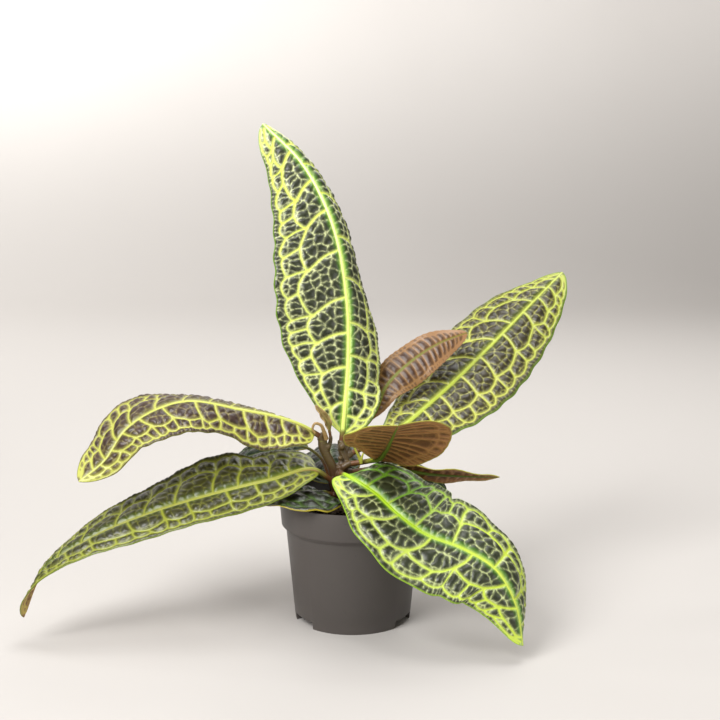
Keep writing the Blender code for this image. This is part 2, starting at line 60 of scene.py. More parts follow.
class Signal:
    """A number that varies over a surface. Python's operators on it add Math nodes to its material."""

    def __init__(self, paint: "Paint", socket: bpy.types.NodeSocket) -> None:
        """Wrap a socket.

        Args:
            paint: The material in the making that the socket belongs to.
            socket: The output socket to read.
        """
        self.paint = paint
        self.socket = socket

    def maths(self, operation: str, *others: Any, swap: bool = False) -> "Signal":
        """Put this signal through one Math node.

        Args:
            operation: The Math node's operation.
            others: Numbers or signals for its further inputs.
            swap: Whether this signal is the second operand.

        Returns:
            The node's result.
        """
        values = (*others, self) if swap else (self, *others)
        node = self.paint.node("ShaderNodeMath", {"operation": operation}, dict(enumerate(values)))
        return Signal(self.paint, node.outputs[0])

    def __add__(self, other: Any) -> "Signal":
        """Sum."""
        return self.maths("ADD", other)

    def __radd__(self, other: Any) -> "Signal":
        """Sum, reflected."""
        return self.maths("ADD", other)

    def __sub__(self, other: Any) -> "Signal":
        """Difference."""
        return self.maths("SUBTRACT", other)

    def __rsub__(self, other: Any) -> "Signal":
        """Difference, reflected."""
        return self.maths("SUBTRACT", other, swap=True)

    def __mul__(self, other: Any) -> "Signal":
        """Product."""
        return self.maths("MULTIPLY", other)

    def __rmul__(self, other: Any) -> "Signal":
        """Product, reflected."""
        return self.maths("MULTIPLY", other)

    def __pow__(self, other: Any) -> "Signal":
        """Power."""
        return self.maths("POWER", other)

    def least(self, other: Any) -> "Signal":
        """The smaller of two."""
        return self.maths("MINIMUM", other)

    def most(self, other: Any) -> "Signal":
        """The larger of two."""
        return self.maths("MAXIMUM", other)

    def fall(self, start: float, end: float) -> "Signal":
        """A smooth mask.

        Args:
            start: The value at which the mask is 1.
            end: The value at which it has gone to 0.

        Returns:
            The mask.
        """
        node = self.paint.node(
            "ShaderNodeMapRange", {"interpolation_type": "SMOOTHSTEP"},
            {"Value": self, "From Min": start, "From Max": end, "To Min": 1.0, "To Max": 0.0})
        return Signal(self.paint, node.outputs[0])


class Paint:
    """A material in the making: its nodes, and the Principled shader that they feed."""

    def __init__(self, name: str) -> None:
        """Start a material.

        Args:
            name: The material's name.
        """
        self.material = bpy.data.materials.new(name)
        self.material.use_nodes = True
        self.tree = self.material.node_tree
        self.shader = self.tree.nodes["Principled BSDF"]

    def node(self, kind: str, settings: dict[str, Any], values: dict[Any, Any]) -> bpy.types.Node:
        """Add one node.

        Args:
            kind: The node's type.
            settings: Its own settings, set first.
            values: A number, signal, socket or colour for each input, by name or place.

        Returns:
            The node.
        """
        node = self.tree.nodes.new(kind)
        for name, setting in settings.items():
            setattr(node, name, setting)
        for name, value in values.items():
            self.plug(node.inputs[name], value)
        return node

    def plug(self, socket: bpy.types.NodeSocket, value: Any) -> None:
        """Feed an input.

        Args:
            socket: The input socket.
            value: A signal or output socket to link, or a constant.
        """
        if isinstance(value, Signal):
            value = value.socket
        if isinstance(value, bpy.types.NodeSocket):
            self.tree.links.new(value, socket)
        elif isinstance(value, tuple) and len(value) == 3 and socket.type == "RGBA":
            socket.default_value = (*value, 1.0)
        else:
            socket.default_value = value

    def places(self) -> bpy.types.NodeSocket:
        """Places on the piece, in metres."""
        return self.node("ShaderNodeTexCoord", {}, {}).outputs["Object"]

    def read(self, name: str) -> Signal:
        """A number kept on the piece's points."""
        return Signal(self, self.node("ShaderNodeAttribute", {"attribute_name": name}, {}).outputs["Fac"])

    def vector(self, name: str) -> bpy.types.NodeSocket:
        """A vector kept on the piece's points."""
        return self.node("ShaderNodeAttribute", {"attribute_name": name}, {}).outputs["Vector"]

    def axis(self, at: bpy.types.NodeSocket, index: int) -> Signal:
        """One of the three numbers of a vector."""
        return Signal(self, self.node("ShaderNodeSeparateXYZ", {}, {"Vector": at}).outputs[index])

    def stretch(self, x: Any, y: Any, z: Any) -> bpy.types.NodeSocket:
        """Places made of three numbers or signals."""
        return self.node("ShaderNodeCombineXYZ", {}, {"X": x, "Y": y, "Z": z}).outputs["Vector"]

    def noise(self, at: bpy.types.NodeSocket, scale: float, detail: float = 3.0, roughness: float = 0.55) -> Signal:
        """A cloudy noise from about 0.2 to 0.8.

        Args:
            at: The places that it is read at.
            scale: How many clouds fit in one unit of length.
            detail: How many finer layers it has.
            roughness: How strong the finer layers are.

        Returns:
            The noise.
        """
        node = self.node("ShaderNodeTexNoise", {}, {
            "Vector": at, "Scale": scale, "Detail": detail, "Roughness": roughness})
        return Signal(self, node.outputs["Fac"])

    def crackle(self, at: bpy.types.NodeSocket, scale: float, wildness: float = 1.0) -> Signal:
        """The distance to the nearest edge between random cells.

        Args:
            at: The places that it is read at.
            scale: How many cells fit in one unit of length.
            wildness: How uneven the cells are.

        Returns:
            The distance, in cells.
        """
        node = self.node("ShaderNodeTexVoronoi", {"feature": "DISTANCE_TO_EDGE"}, {
            "Vector": at, "Scale": scale, "Randomness": wildness})
        return Signal(self, node.outputs["Distance"])

    def blend(self, mask: Any, below: Any, above: Any) -> bpy.types.NodeSocket:
        """Lay one colour over another.

        Args:
            mask: How much of the upper colour shows, from 0 to 1.
            below: The colour where the mask is 0.
            above: The colour where it is 1.

        Returns:
            The mixed colour.
        """
        node = self.node("ShaderNodeMix", {"data_type": "RGBA", "clamp_factor": True}, {0: mask, 6: below, 7: above})
        return node.outputs[2]

    def bump(self, height: Signal, distance: float, strength: float = 1.0) -> None:
        """Give the surface a fine relief.

        Args:
            height: The relief, from 0 to 1.
            distance: Its depth in metres.
            strength: How much of it shows.
        """
        node = self.node("ShaderNodeBump", {}, {"Height": height, "Distance": distance, "Strength": strength})
        self.plug(self.shader.inputs["Normal"], node.outputs["Normal"])

    def surface(self, **values: Any) -> bpy.types.Material:
        """Set the shader's inputs, named with _ for a space, and hand over the material."""
        for name, value in values.items():
            self.plug(self.shader.inputs[name.replace("_", " ")], value)
        return self.material


@dataclass(frozen=True)
class Half:
    """One half of a blade: its width in mm and how it leaves the midrib, in degrees, from base to tip."""

    width: float
    widest: float = 0.45
    base: float = 1.0
    tip: float = 0.6
    fold: tuple[float, ...] = (0, 0, 0)
    bend: tuple[float, ...] = (-10, -10, -10)
    dent: tuple[float, float, float] = (0.5, 0, 0.03)


class Look(Enum):
    """The leaf finishes."""

    BRIGHT = "bright"
    FRONT = "front"
    BACK = "back"
    OLIVE = "shaded_olive"
    PURPLE = "purple"
    SHADED = "shaded"
    COPPER = "copper"
    ROSY = "rosy"
    BRONZE = "bronze"


@dataclass(frozen=True)
class NetStyle:
    """How the veins of a kind of leaf lie: shares of the half width, and sizes in mm."""

    loop_one: float = 0.46
    loop_two: float = 0.82
    arch: float = 0.15
    vein: float = 0.5
    outer_vein: float = 0.32
    cell: float = 8.0
    outer_cell: float = 6.0
    edge_cell: float = 4.2


GROWN = NetStyle()
YOUNG = NetStyle(loop_one=0.74, loop_two=0.92, arch=0.03, vein=0.22, outer_vein=0.2, cell=11.0)


@dataclass(frozen=True)
class LeafShape:
    """One leaf, in mm: its midrib, the way its upper face looks, its halves and its net.

    Lean is how far the side veins point back to the base, in degrees: left half's base and tip, then the right's.
    """

    name: str
    midrib: tuple[Point, ...]
    facing: tuple[Point, ...]
    stalk: float
    left: Half
    right: Half
    look: Look = Look.SHADED
    scutes: int = 8
    blister: float = 1.6
    ripple: float = 1.0
    ripples: float = 3.0
    scallop: float = 0.015
    stalk_radius: float = 2.2
    net: NetStyle = GROWN
    lean: tuple[float, float, float, float] = (20, 20, 20, 20)
    seed: int = 1


LEAVES = (
    LeafShape(
        "leaf_upright",
        midrib=((-9, 4, 147), (-6, 9, 178), (-4, 18, 206), (-5, 35, 258), (-20, 58, 327), (-43, 74, 369),
                (-76, 86, 402)),
        facing=((0, -1, 0.1), (0.1, -1, 0.2), (0.2, -1, 0.3), (0.1, -1, 0.3), (-0.1, -1, 0.4)),
        stalk=5,
        left=Half(60, widest=0.4, base=1.1, tip=0.55, fold=(5, 5, 5), bend=(5, 0, -10)),
        right=Half(38, widest=0.28, base=0.9, tip=0.5, fold=(-10, -25, -22), bend=(-20, -65, -75)),
        look=Look.BRIGHT, scutes=10, lean=(18, 34, 10, 25), seed=3,
    ),
    LeafShape(
        "leaf_left_upper",
        midrib=((-27, -5, 153), (-42, -8, 163), (-90, -14, 177), (-136, -25, 185), (-177, -40, 166),
                (-193, -50, 143), (-211, -58, 129)),
        facing=((0.1, -0.4, 0.9), (0.1, -0.4, 0.9), (-0.1, -0.5, 0.8), (-0.5, -0.6, 0.5), (-0.6, -0.8, 0.2)),
        stalk=4,
        left=Half(36, widest=0.4, base=0.4, tip=0.7, fold=(-20, -18, -2, -8, -5), bend=(-30, -20, 0, -10, -20),
                  dent=(0.34, 0.24, 0.09)),
        right=Half(38, widest=0.66, base=0.8, tip=0.6, fold=(-25, -20, -23, -4, 0), bend=(-20, -20, -20, -10, -10)),
        look=Look.PURPLE, scutes=13, lean=(20, 20, 25, 20), seed=7,
    ),
    LeafShape(
        "leaf_left_lower",
        midrib=((-18, -8, 117), (-30, -15, 127), (-65, -30, 123), (-112, -42, 114), (-157, -50, 102),
                (-204, -56, 83), (-242, -60, 56), (-258, -60, 20)),
        facing=((0.1, -0.35, 0.9), (0.1, -0.4, 0.9), (-0.1, -0.35, 0.9), (-0.2, -0.3, 0.9), (-0.9, -0.35, 0.2)),
        stalk=14,
        left=Half(28, widest=0.36, base=0.7, tip=0.5, fold=(-5, 0, 0, -5, 0, 15, 80), bend=(-10, -10, -10)),
        right=Half(45, widest=0.33, base=0.5, tip=1.3, fold=(-5, 5, 0, 0, 10), bend=(-20, -10, -10, -10, -20),
                   dent=(0.17, 0.14, 0.03)),
        look=Look.OLIVE, scutes=13, lean=(5, 15, 20, 25), seed=11,
    ),
    LeafShape(
        "leaf_front",
        midrib=((-9, -9, 122), (-4, -22, 124), (18, -41, 115), (34, -57, 104), (55, -68, 91), (86, -78, 81),
                (109, -86, 68), (123, -94, 45), (129, -103, 14)),
        facing=((0.1, -0.5, 0.85), (0.05, -0.55, 0.8), (0.1, -0.65, 0.75), (0.5, -0.55, 0.7), (0.8, -0.5, 0.2)),
        stalk=6,
        left=Half(48, widest=0.44, base=0.55, tip=0.55, fold=(2, 2, -2, -6, -20), bend=(-10, -10, -15),
                  dent=(0.45, 0.12, 0.03)),
        right=Half(44, widest=0.5, base=0.52, tip=0.6, fold=(0, 5, -5, -25, -30), bend=(-10, -10, -10)),
        look=Look.FRONT, scutes=8, lean=(-12, 10, 35, 20), seed=5,
    ),
    LeafShape(
        "leaf_right_back",
        midrib=((0, 6, 136), (28, 14, 148), (70, 45, 174), (115, 80, 209), (161, 112, 249), (188, 135, 271)),
        facing=((-0.2, -0.6, 0.8), (-0.3, -0.7, 0.6), (-0.3, -0.8, 0.6), (-0.3, -0.8, 0.6)),
        stalk=22,
        left=Half(46, widest=0.5, base=0.8, tip=0.7, fold=(-5, -5, -5), bend=(-10, -10, -10)),
        right=Half(46, widest=0.45, base=0.8, tip=0.6, fold=(-5, -5, -5), bend=(-10, -10, -10)),
        look=Look.BACK, scutes=11, lean=(25, 30, 10, 25), seed=13,
    ),
    LeafShape(
        "leaf_young_upper",
        midrib=((-3, 9, 143), (19, 32, 166), (28, 44, 184), (48, 52, 203), (74, 58, 219), (97, 62, 227)),
        facing=((-0.3, -0.9, 0.4), (-0.3, -0.9, 0.4), (-0.3, -0.9, 0.4)),
        stalk=26,
        left=Half(17, widest=0.5, base=0.9, tip=0.6),
        right=Half(20, widest=0.55, base=0.9, tip=0.6),
        look=Look.ROSY, net=YOUNG, scutes=24, lean=(0, 15, 0, 15), seed=17, blister=0.6,
    ),
    LeafShape(
        "leaf_young_front",
        midrib=((-1, -2, 129), (11, -3, 131), (20, -13, 136), (26, -30, 147), (29, -52, 159), (34, -95, 182)),
        facing=((0, 0.5, 0.85), (0, 0.5, 0.85), (0, 0.5, 0.85), (0, 0.45, 0.85)),
        stalk=18,
        left=Half(45, widest=0.72, base=0.35, tip=0.4, fold=(-14, -18, 2, 20)),
        right=Half(37, widest=0.62, base=0.9, tip=0.4, fold=(0, 5, 5)),
        look=Look.COPPER, net=YOUNG, scutes=15, lean=(0, 0, -10, -10), seed=19, blister=0.5, scallop=0.003,
    ),
    LeafShape(
        "leaf_young_right",
        midrib=((0, 3, 121), (30, 5, 124), (68, 6, 118.5), (96, 7, 116.5), (121, 9, 115)),
        facing=((0, 0.5, 0.85), (0, 0.6, 0.8), (0, 0.6, 0.8)),
        stalk=14,
        left=Half(14, widest=0.5, base=0.8, tip=0.8),
        right=Half(14, widest=0.5, base=0.8, tip=0.8),
        look=Look.COPPER, net=YOUNG, scutes=16, lean=(0, 10, 0, 10), seed=23, blister=0.8,
    ),
    LeafShape(
        "leaf_back_right",
        midrib=((-4, 7, 114), (28, 18, 117), (54, 24, 113), (74, 26, 100), (83, 27, 83)),
        facing=((0.2, -0.2, 0.9), (0.4, -0.3, 0.8), (0.9, -0.3, 0.4)),
        stalk=14,
        left=Half(20, widest=0.5, base=0.8, tip=0.6),
        right=Half(13, widest=0.5, base=0.8, tip=0.6),
        look=Look.SHADED, scutes=5, seed=29,
    ),
    LeafShape(
        "leaf_back_left",
        midrib=((-19, 3, 113), (-25, 6, 130), (-36, 12, 138), (-62, 25, 134), (-92, 36, 124), (-118, 44, 108)),
        facing=((0, -0.3, 0.9), (0, -0.3, 0.9), (-0.4, -0.3, 0.9)),
        stalk=34,
        left=Half(24, widest=0.5, base=0.8, tip=0.8),
        right=Half(24, widest=0.5, base=0.8, tip=0.8),
        look=Look.SHADED, scutes=6, seed=31, stalk_radius=1.3,
    ),
    LeafShape(
        "leaf_under_left",
        midrib=((-17, -6, 104), (-32, -17, 110.5), (-50, -25, 111.5), (-63, -28, 108.5), (-74, -29, 103)),
        facing=((0, 0, 1), (0, -0.1, 1), (-0.3, -0.1, 1)),
        stalk=8,
        left=Half(40, widest=0.3, base=0.5, tip=0.9),
        right=Half(28, widest=0.4, base=0.7, tip=0.8),
        look=Look.SHADED, scutes=5, seed=37,
    ),
    LeafShape(
        "leaf_back",
        midrib=((-15, 5, 106), (-18, 22, 117), (-20, 48, 125), (-22, 80, 124), (-26, 112, 108)),
        facing=((0, -0.5, 0.85), (0, -0.5, 0.85), (0, -0.3, 0.95)),
        stalk=6,
        left=Half(30, widest=0.4, base=0.6, tip=0.7, fold=(-15, -15, -15)),
        right=Half(28, widest=0.4, base=0.6, tip=0.7, fold=(-5, -5, -5)),
        look=Look.SHADED, scutes=6, seed=41,
    ),
    LeafShape(
        "bud_leaf",
        midrib=((-18, -2, 152), (-20, -3, 163), (-30, -5, 178)),
        facing=((0.5, -1, 0.3), (0.5, -1, 0.3)),
        stalk=3,
        left=Half(3.5, fold=(30, 30, 30)),
        right=Half(3.5, fold=(30, 30, 30)),
        look=Look.BRONZE, net=YOUNG, scutes=4, seed=43, blister=0, stalk_radius=1.2,
    ),
)


def smooth_curve(knots: Floats, values: Any, places: Floats) -> Floats:
    """Read a smooth curve through some knots.

    Args:
        knots: Where the values stand, rising.
        values: The numbers or points there.
        places: Where the curve is read.

    Returns:
        The curve's values at the places.
    """
    knots = np.asarray(knots, float)
    values = np.asarray(values, float)
    slopes = np.gradient(values, knots, axis=0)
    index = np.clip(np.searchsorted(knots, places, side="right") - 1, 0, len(knots) - 2)
    extra = (None,) * (values.ndim - 1)
    span = (knots[index + 1] - knots[index])[(...,) + extra]
    u = (places - knots[index])[(...,) + extra] / span
    start = (1 + 2 * u) * (1 - u) ** 2 * values[index]
    end = u ** 2 * (3 - 2 * u) * values[index + 1]
    leave = u * (1 - u) ** 2 * span * slopes[index]
    arrive = u ** 2 * (u - 1) * span * slopes[index + 1]
    return start + end + leave + arrive


def unit(vectors: Floats) -> Floats:
    """The vectors at length one."""
    return vectors / np.linalg.norm(vectors, axis=-1, keepdims=True)


class Midrib:
    """Places and directions along one leaf, and the smooth sheet of its blade."""

    AIM_STEP = 0.01
    OPENING = 6.0
    STALK_TAPER = 0.75
    FLAT_BEND = 0.001

    def __init__(self, shape: LeafShape) -> None:
        """Trace the midrib.

        Args:
            shape: The leaf.
        """
        self.shape = shape
        points = np.array(shape.midrib, float)
        chord = np.concatenate([[0], np.cumsum(np.linalg.norm(np.diff(points, axis=0), axis=1))])
        self.track = smooth_curve(chord, points, np.linspace(0, chord[-1], 400))
        run = np.concatenate([[0], np.cumsum(np.linalg.norm(np.diff(self.track, axis=0), axis=1))])
        self.length = float(run[-1])
        self.run = run / run[-1]
        self.start = shape.stalk / self.length
        self.blade_length = self.length - shape.stalk

    def point(self, share: Floats) -> Floats:
        """Points of the midrib at shares of the leaf's length."""
        return np.stack([np.interp(share, self.run, self.track[:, axis]) for axis in range(3)], -1)

    def axes(self, share: Floats) -> tuple[Floats, Floats, Floats]:
        """The directions along the midrib, to the right of it and up from its upper face, at shares of its length."""
        ahead = self.point(np.minimum(share + self.AIM_STEP, 1))
        tangent = unit(ahead - self.point(np.maximum(share - self.AIM_STEP, 0)))
        looks = smooth_curve(np.linspace(0, 1, len(self.shape.facing)), self.shape.facing, share)
        right = unit(np.cross(tangent, looks))
        return tangent, right, np.cross(right, tangent)

    def half_widths(self, half: Half, b: Floats, phase: Floats) -> Floats:
        """Width of one half of the blade.

        Args:
            half: The half.
            b: The share of the blade that lies behind.
            phase: The same, counted in scutes.

        Returns:
            The width in mm.
        """
        power = math.log(0.5) / math.log(half.widest)
        taper = half.base + (half.tip - half.base) * b
        width = half.width * np.abs(np.sin(np.pi * b ** power)) ** taper
        place, depth, spread = half.dent
        width = width * (1 - depth * np.exp(-(((b - place) / spread) ** 2)))
        width = width * (1 - self.shape.scallop * np.cos(2 * np.pi * phase))
        return np.maximum(width, self.shape.stalk_radius * (1 - self.STALK_TAPER * b))

    def angles(self, half: Half, b: Floats) -> tuple[Floats, Floats]:
        """Fold at the midrib and further bend of one half, in radians."""
        opening = np.clip(b * self.OPENING, 0, 1)
        fold, bend = (
            smooth_curve(np.linspace(0, 1, len(turns)), np.radians(np.array(turns, float)), b) * opening
            for turns in (half.fold, half.bend))
        return fold, np.where(np.abs(bend) < self.FLAT_BEND, self.FLAT_BEND, bend)

    def width(self, b: Floats, across: Floats) -> Floats:
        """Width of the half that each place lies on, in mm."""
        phase = b * self.shape.scutes + np.where(across > 0, 1 / 3, 0)
        left = self.half_widths(self.shape.left, b, phase)
        return np.where(across < 0, left, self.half_widths(self.shape.right, b, phase))

    def sheet(self, b: Floats, across: Floats) -> tuple[Floats, Floats]:
        """Place the blade.

        Args:
            b: Shares of the blade from base to tip.
            across: From -1 at the left margin to 1 at the right one.

        Returns:
            The points in mm and the upward normals of the smooth sheet.
        """
        share = self.start + (1 - self.start) * b
        _, right, up = self.axes(share)
        on_left = across < 0
        wide = self.width(b, across)
        fold, bend = (
            np.where(on_left, left, right_)
            for left, right_ in zip(self.angles(self.shape.left, b), self.angles(self.shape.right, b)))
        side = np.where(on_left, -1.0, 1.0)
        angle = fold + bend * np.abs(across)
        out = wide / bend * (np.sin(angle) - np.sin(fold))
        lift = -wide / bend * (np.cos(angle) - np.cos(fold))
        place = self.point(share) + right * (side * out)[..., None] + up * lift[..., None]
        normal = up * np.cos(angle)[..., None] - right * (side * np.sin(angle))[..., None]
        return place, normal


@dataclass(frozen=True)
class Vein:
    """A vein drawn on the flattened blade, in mm: x runs from base to tip, y from the midrib to a margin."""

    path: Floats
    thick: float
    thin: float


@dataclass
class VeinNet:
    """The net of veins of one leaf: side veins, two rows of loops, and the finer veins inside the cells."""

    midrib: Midrib
    crowding: float = 0.3
    reach: float = 12.0
    softness: float = 0.4
    veins: list[Vein] = field(default_factory=list)
    seeds: list[tuple[float, float]] = field(default_factory=list)

    def __post_init__(self) -> None:
        """Grow both halves."""
        self.style = self.midrib.shape.net
        self.random = np.random.default_rng(self.midrib.shape.seed)
        for side in (-1, 1):
            self.grow(side)

    def flat(self, b: Floats, across: Floats) -> Floats:
        """Places on the flattened blade, in mm."""
        return np.stack([b * self.midrib.blade_length, across * self.midrib.width(b, across)], -1)

    def shake(self, size: float) -> float:
        """A random number between minus and plus the size."""
        return float(self.random.uniform(-size, size))

    def draw(self, b: Any, q: Any, side: int, thick: float, thin: float) -> None:
        """Add one vein.

        Args:
            b: Its knots' shares of the blade.
            q: Its knots' shares of the half width.
            side: -1 for the left half, 1 for the right one.
            thick: Its radius in mm at the start.
            thin: Its radius at the end.
        """
        t = np.linspace(0, 1, len(b))
        fine = np.linspace(0, 1, 9)
        knots = np.stack([np.asarray(b, float), np.asarray(q, float)], -1)
        smooth = smooth_curve(t, knots, fine) if len(b) > 2 else knots
        path = self.flat(np.clip(smooth[:, 0], 0, 1), side * np.clip(smooth[:, 1], 1e-3, 1))
        size = 1 + self.shake(0.25)
        self.veins.append(Vein(path, thick * size, thin * size))

    def grow(self, side: int) -> None:
        """Grow the veins of one half.

        Args:
            side: -1 for the left half, 1 for the right one.
        """
        style = self.style
        count = self.midrib.shape.scutes
        length = self.midrib.blade_length
        lean = self.midrib.shape.lean[:2] if side < 0 else self.midrib.shape.lean[2:]
        shift = 0.35 if side < 0 else 0.75
        u = (np.arange(count) + shift + self.random.uniform(-0.14, 0.14, count)) / count
        roots = u - self.crowding * np.sin(2 * np.pi * u) / (2 * np.pi)
        widths = self.midrib.width(roots, np.full(count, float(side)))
        loops = style.loop_one + self.random.uniform(-0.06, 0.06, count)
        angles = np.radians(lean[0] + (lean[1] - lean[0]) * roots + self.random.uniform(-5, 5, count))
        back = np.tan(angles) * widths / length
        knees = np.clip(roots - back * loops, roots * 0.3, 0.97)
        outers = style.loop_two + self.random.uniform(-0.03, 0.03, count)
        heels = np.clip(knees - back * 0.5 * (outers - loops), knees * 0.5, 0.98)
        for i in range(count):
            bow = 0.3 * (roots[i] - knees[i])
            self.draw((roots[i], roots[i] - bow, knees[i]), (0, loops[i] * 0.5, loops[i]), side,
                      style.vein, style.vein * 0.8)
            turn = self.shake(0.12) * (heels[i] - knees[i]) + self.shake(0.006)
            self.draw((knees[i], (knees[i] + heels[i]) / 2 + turn, heels[i]),
                      (loops[i], (loops[i] + outers[i]) / 2, outers[i]), side, style.vein * 0.75, style.outer_vein)
        starts = [(0.01, 0.3, 0.005, 0.7), *zip(knees, loops, heels, outers)]
        ends = [*zip(knees, loops, heels, outers), (0.985, 0.3, 0.99, 0.7)]
        rows = [(0.0, *roots), (*roots, 1.0)]
        for low, high, first, last in zip(starts, ends, *rows):
            self.arches(side, low, high)
            self.cells(side, low, high, first, last)

    def arches(self, side: int, low: tuple[float, ...], high: tuple[float, ...]) -> None:
        """Join two side veins by the loop of each row.

        Args:
            side: -1 for the left half, 1 for the right one.
            low: Where the lower side vein meets the inner loop and the outer one: b, q, b, q.
            high: The same for the upper side vein.
        """
        style = self.style
        swell = style.arch * (1 + self.shake(0.25))
        mid = 0.5 + self.shake(0.1)
        b = [low[0] + (high[0] - low[0]) * t for t in (0, 0.1, mid, 0.9, 1)]
        q = [low[1], low[1] + 0.45 * swell, (low[1] + high[1]) / 2 + swell, high[1] + 0.35 * swell, high[1] - 0.02]
        self.draw(b, q, side, style.vein * 0.8, style.vein * 0.8)
        outer_b = low[2] + (high[2] - low[2]) * (mid + self.shake(0.08))
        outer_q = style.loop_two + self.shake(0.03)
        self.draw((b[2], outer_b), (q[2], outer_q), side, style.vein * 0.7, style.outer_vein)
        for one, two in (((low[2], low[3]), (outer_b, outer_q)), ((outer_b, outer_q), (high[2], high[3]))):
            b = [one[0] + (two[0] - one[0]) * t for t in (0, 0.2, 0.5, 0.8, 1)]
            rise = 0.06 + self.shake(0.015)
            q = [one[1], one[1] + rise * 0.7, (one[1] + two[1]) / 2 + rise, two[1] + rise * 0.7, two[1]]
            self.draw(b, q, side, style.outer_vein, style.outer_vein)

    def cells(self, side: int, low: tuple[float, ...], high: tuple[float, ...], first: float, last: float) -> None:
        """Set the middles of the fine cells between two side veins.

        Args:
            side: -1 for the left half, 1 for the right one.
            low: Where the lower side vein meets the loops: b, q, b, q.
            high: The same for the upper side vein.
            first: Where the lower side vein leaves the midrib.
            last: Where the upper one does.
        """
        length = self.midrib.blade_length
        middle = np.array([(low[0] + high[0]) / 2])
        width = float(self.midrib.width(middle, np.array([float(side)]))[0])
        style = self.style
        loop = (low[1] + high[1]) / 2 + style.arch * 0.7
        rows = max(1, round(loop * width / style.cell * 0.8))
        for row in range(rows):
            q = (row + 0.5) / rows * loop
            lean = (row + 0.5) / rows
            start = first + (low[0] - first) * lean
            end = last + (high[0] - last) * lean
            self.row(side, start, end, q, max(1, round((end - start) * length / style.cell * 1.15)), 0.3)
        self.row(side, low[0], high[0], (loop + style.loop_two) / 2,
                 max(2, round((high[0] - low[0]) * length / style.outer_cell)), 0.1)
        self.row(side, low[2], high[2], (style.loop_two + 1) / 2,
                 max(2, round((high[2] - low[2]) * length / style.edge_cell)), 0.1)

    def row(self, side: int, start: float, end: float, q: float, count: int, wildness: float) -> None:
        """Set a row of fine cells.

        Args:
            side: -1 for the left half, 1 for the right one.
            start: Where the row begins, as a share of the blade.
            end: Where it ends.
            q: Its share of the half width.
            count: The number of cells.
            wildness: How far they stray, as a share of their spacing.
        """
        step = (end - start) / count
        for k in range(count):
            b = np.clip(start + (k + 0.5 + self.shake(wildness)) * step, 0, 1)
            across = side * (q + self.shake(wildness * 0.25))
            place = self.flat(np.array([b]), np.array([across]))[0]
            self.seeds.append((float(place[0]), float(place[1])))

    def vein_gap(self, places: Floats) -> tuple[Floats, Floats]:
        """Distance to the side veins and loops, which run into each other softly.

        Args:
            places: Places on the flattened blade, in mm.

        Returns:
            The distances in mm, below zero inside a vein, and how far along the nearest vein each place lies.
        """
        total = np.full(len(places), math.exp(-self.reach / self.softness))
        best = np.full(len(places), self.reach)
        run = np.zeros(len(places))
        for number, vein in enumerate(self.veins):
            low = vein.path.min(0) - self.reach
            high = vein.path.max(0) + self.reach
            near = np.flatnonzero(((places > low) & (places < high)).all(1))
            if not len(near):
                continue
            start = vein.path[:-1]
            along = np.diff(vein.path, axis=0)
            size = np.maximum((along ** 2).sum(1), 1e-9)
            away = places[near][:, None] - start
            t = np.clip((away * along).sum(2) / size, 0, 1)
            gaps = np.linalg.norm(away - t[..., None] * along, axis=2)
            behind = np.concatenate([[0], np.cumsum(np.sqrt(size))])[:-1] + t * np.sqrt(size)
            gaps = gaps - (vein.thick + (vein.thin - vein.thick) * (np.arange(len(start)) + t) / len(start))
            pick = gaps.argmin(1)
            rows = np.arange(len(near))
            gap = gaps[rows, pick]
            total[near] += np.exp(-gap / self.softness)
            closer = gap < best[near]
            best[near[closer]] = gap[closer]
            run[near[closer]] = number * 50 + behind[rows, pick][closer]
        return -self.softness * np.log(total), run

    def cell_gap(self, places: Floats) -> Floats:
        """Distance to the edges between the fine cells, which run into each other softly.

        Args:
            places: Places on the flattened blade, in mm.

        Returns:
            The distances in mm.
        """
        seeds = np.array(self.seeds)
        apart = np.linalg.norm(seeds[:, None] - seeds, axis=2) + 1e-6
        x, y = places.T
        wobble = 0.35 * np.stack([np.sin(y * 0.9) + np.sin(x * 0.4 + 1), np.sin(x * 0.7) + np.sin(y * 0.5 + 2)], -1)
        best = np.empty(len(places))
        for chunk in np.array_split(np.arange(len(places)), max(1, len(places) // 4000)):
            squares = ((places[chunk][:, None] + wobble[chunk][:, None] - seeds) ** 2).sum(2)
            rows = np.arange(len(chunk))
            nearest = squares.argmin(1)
            gaps = (squares - squares.min(1)[:, None]) / (2 * apart[nearest])
            gaps[rows, nearest] = self.reach
            best[chunk] = -self.softness * np.log(np.exp(-gaps / self.softness).sum(1))
        return np.maximum(best, 0)


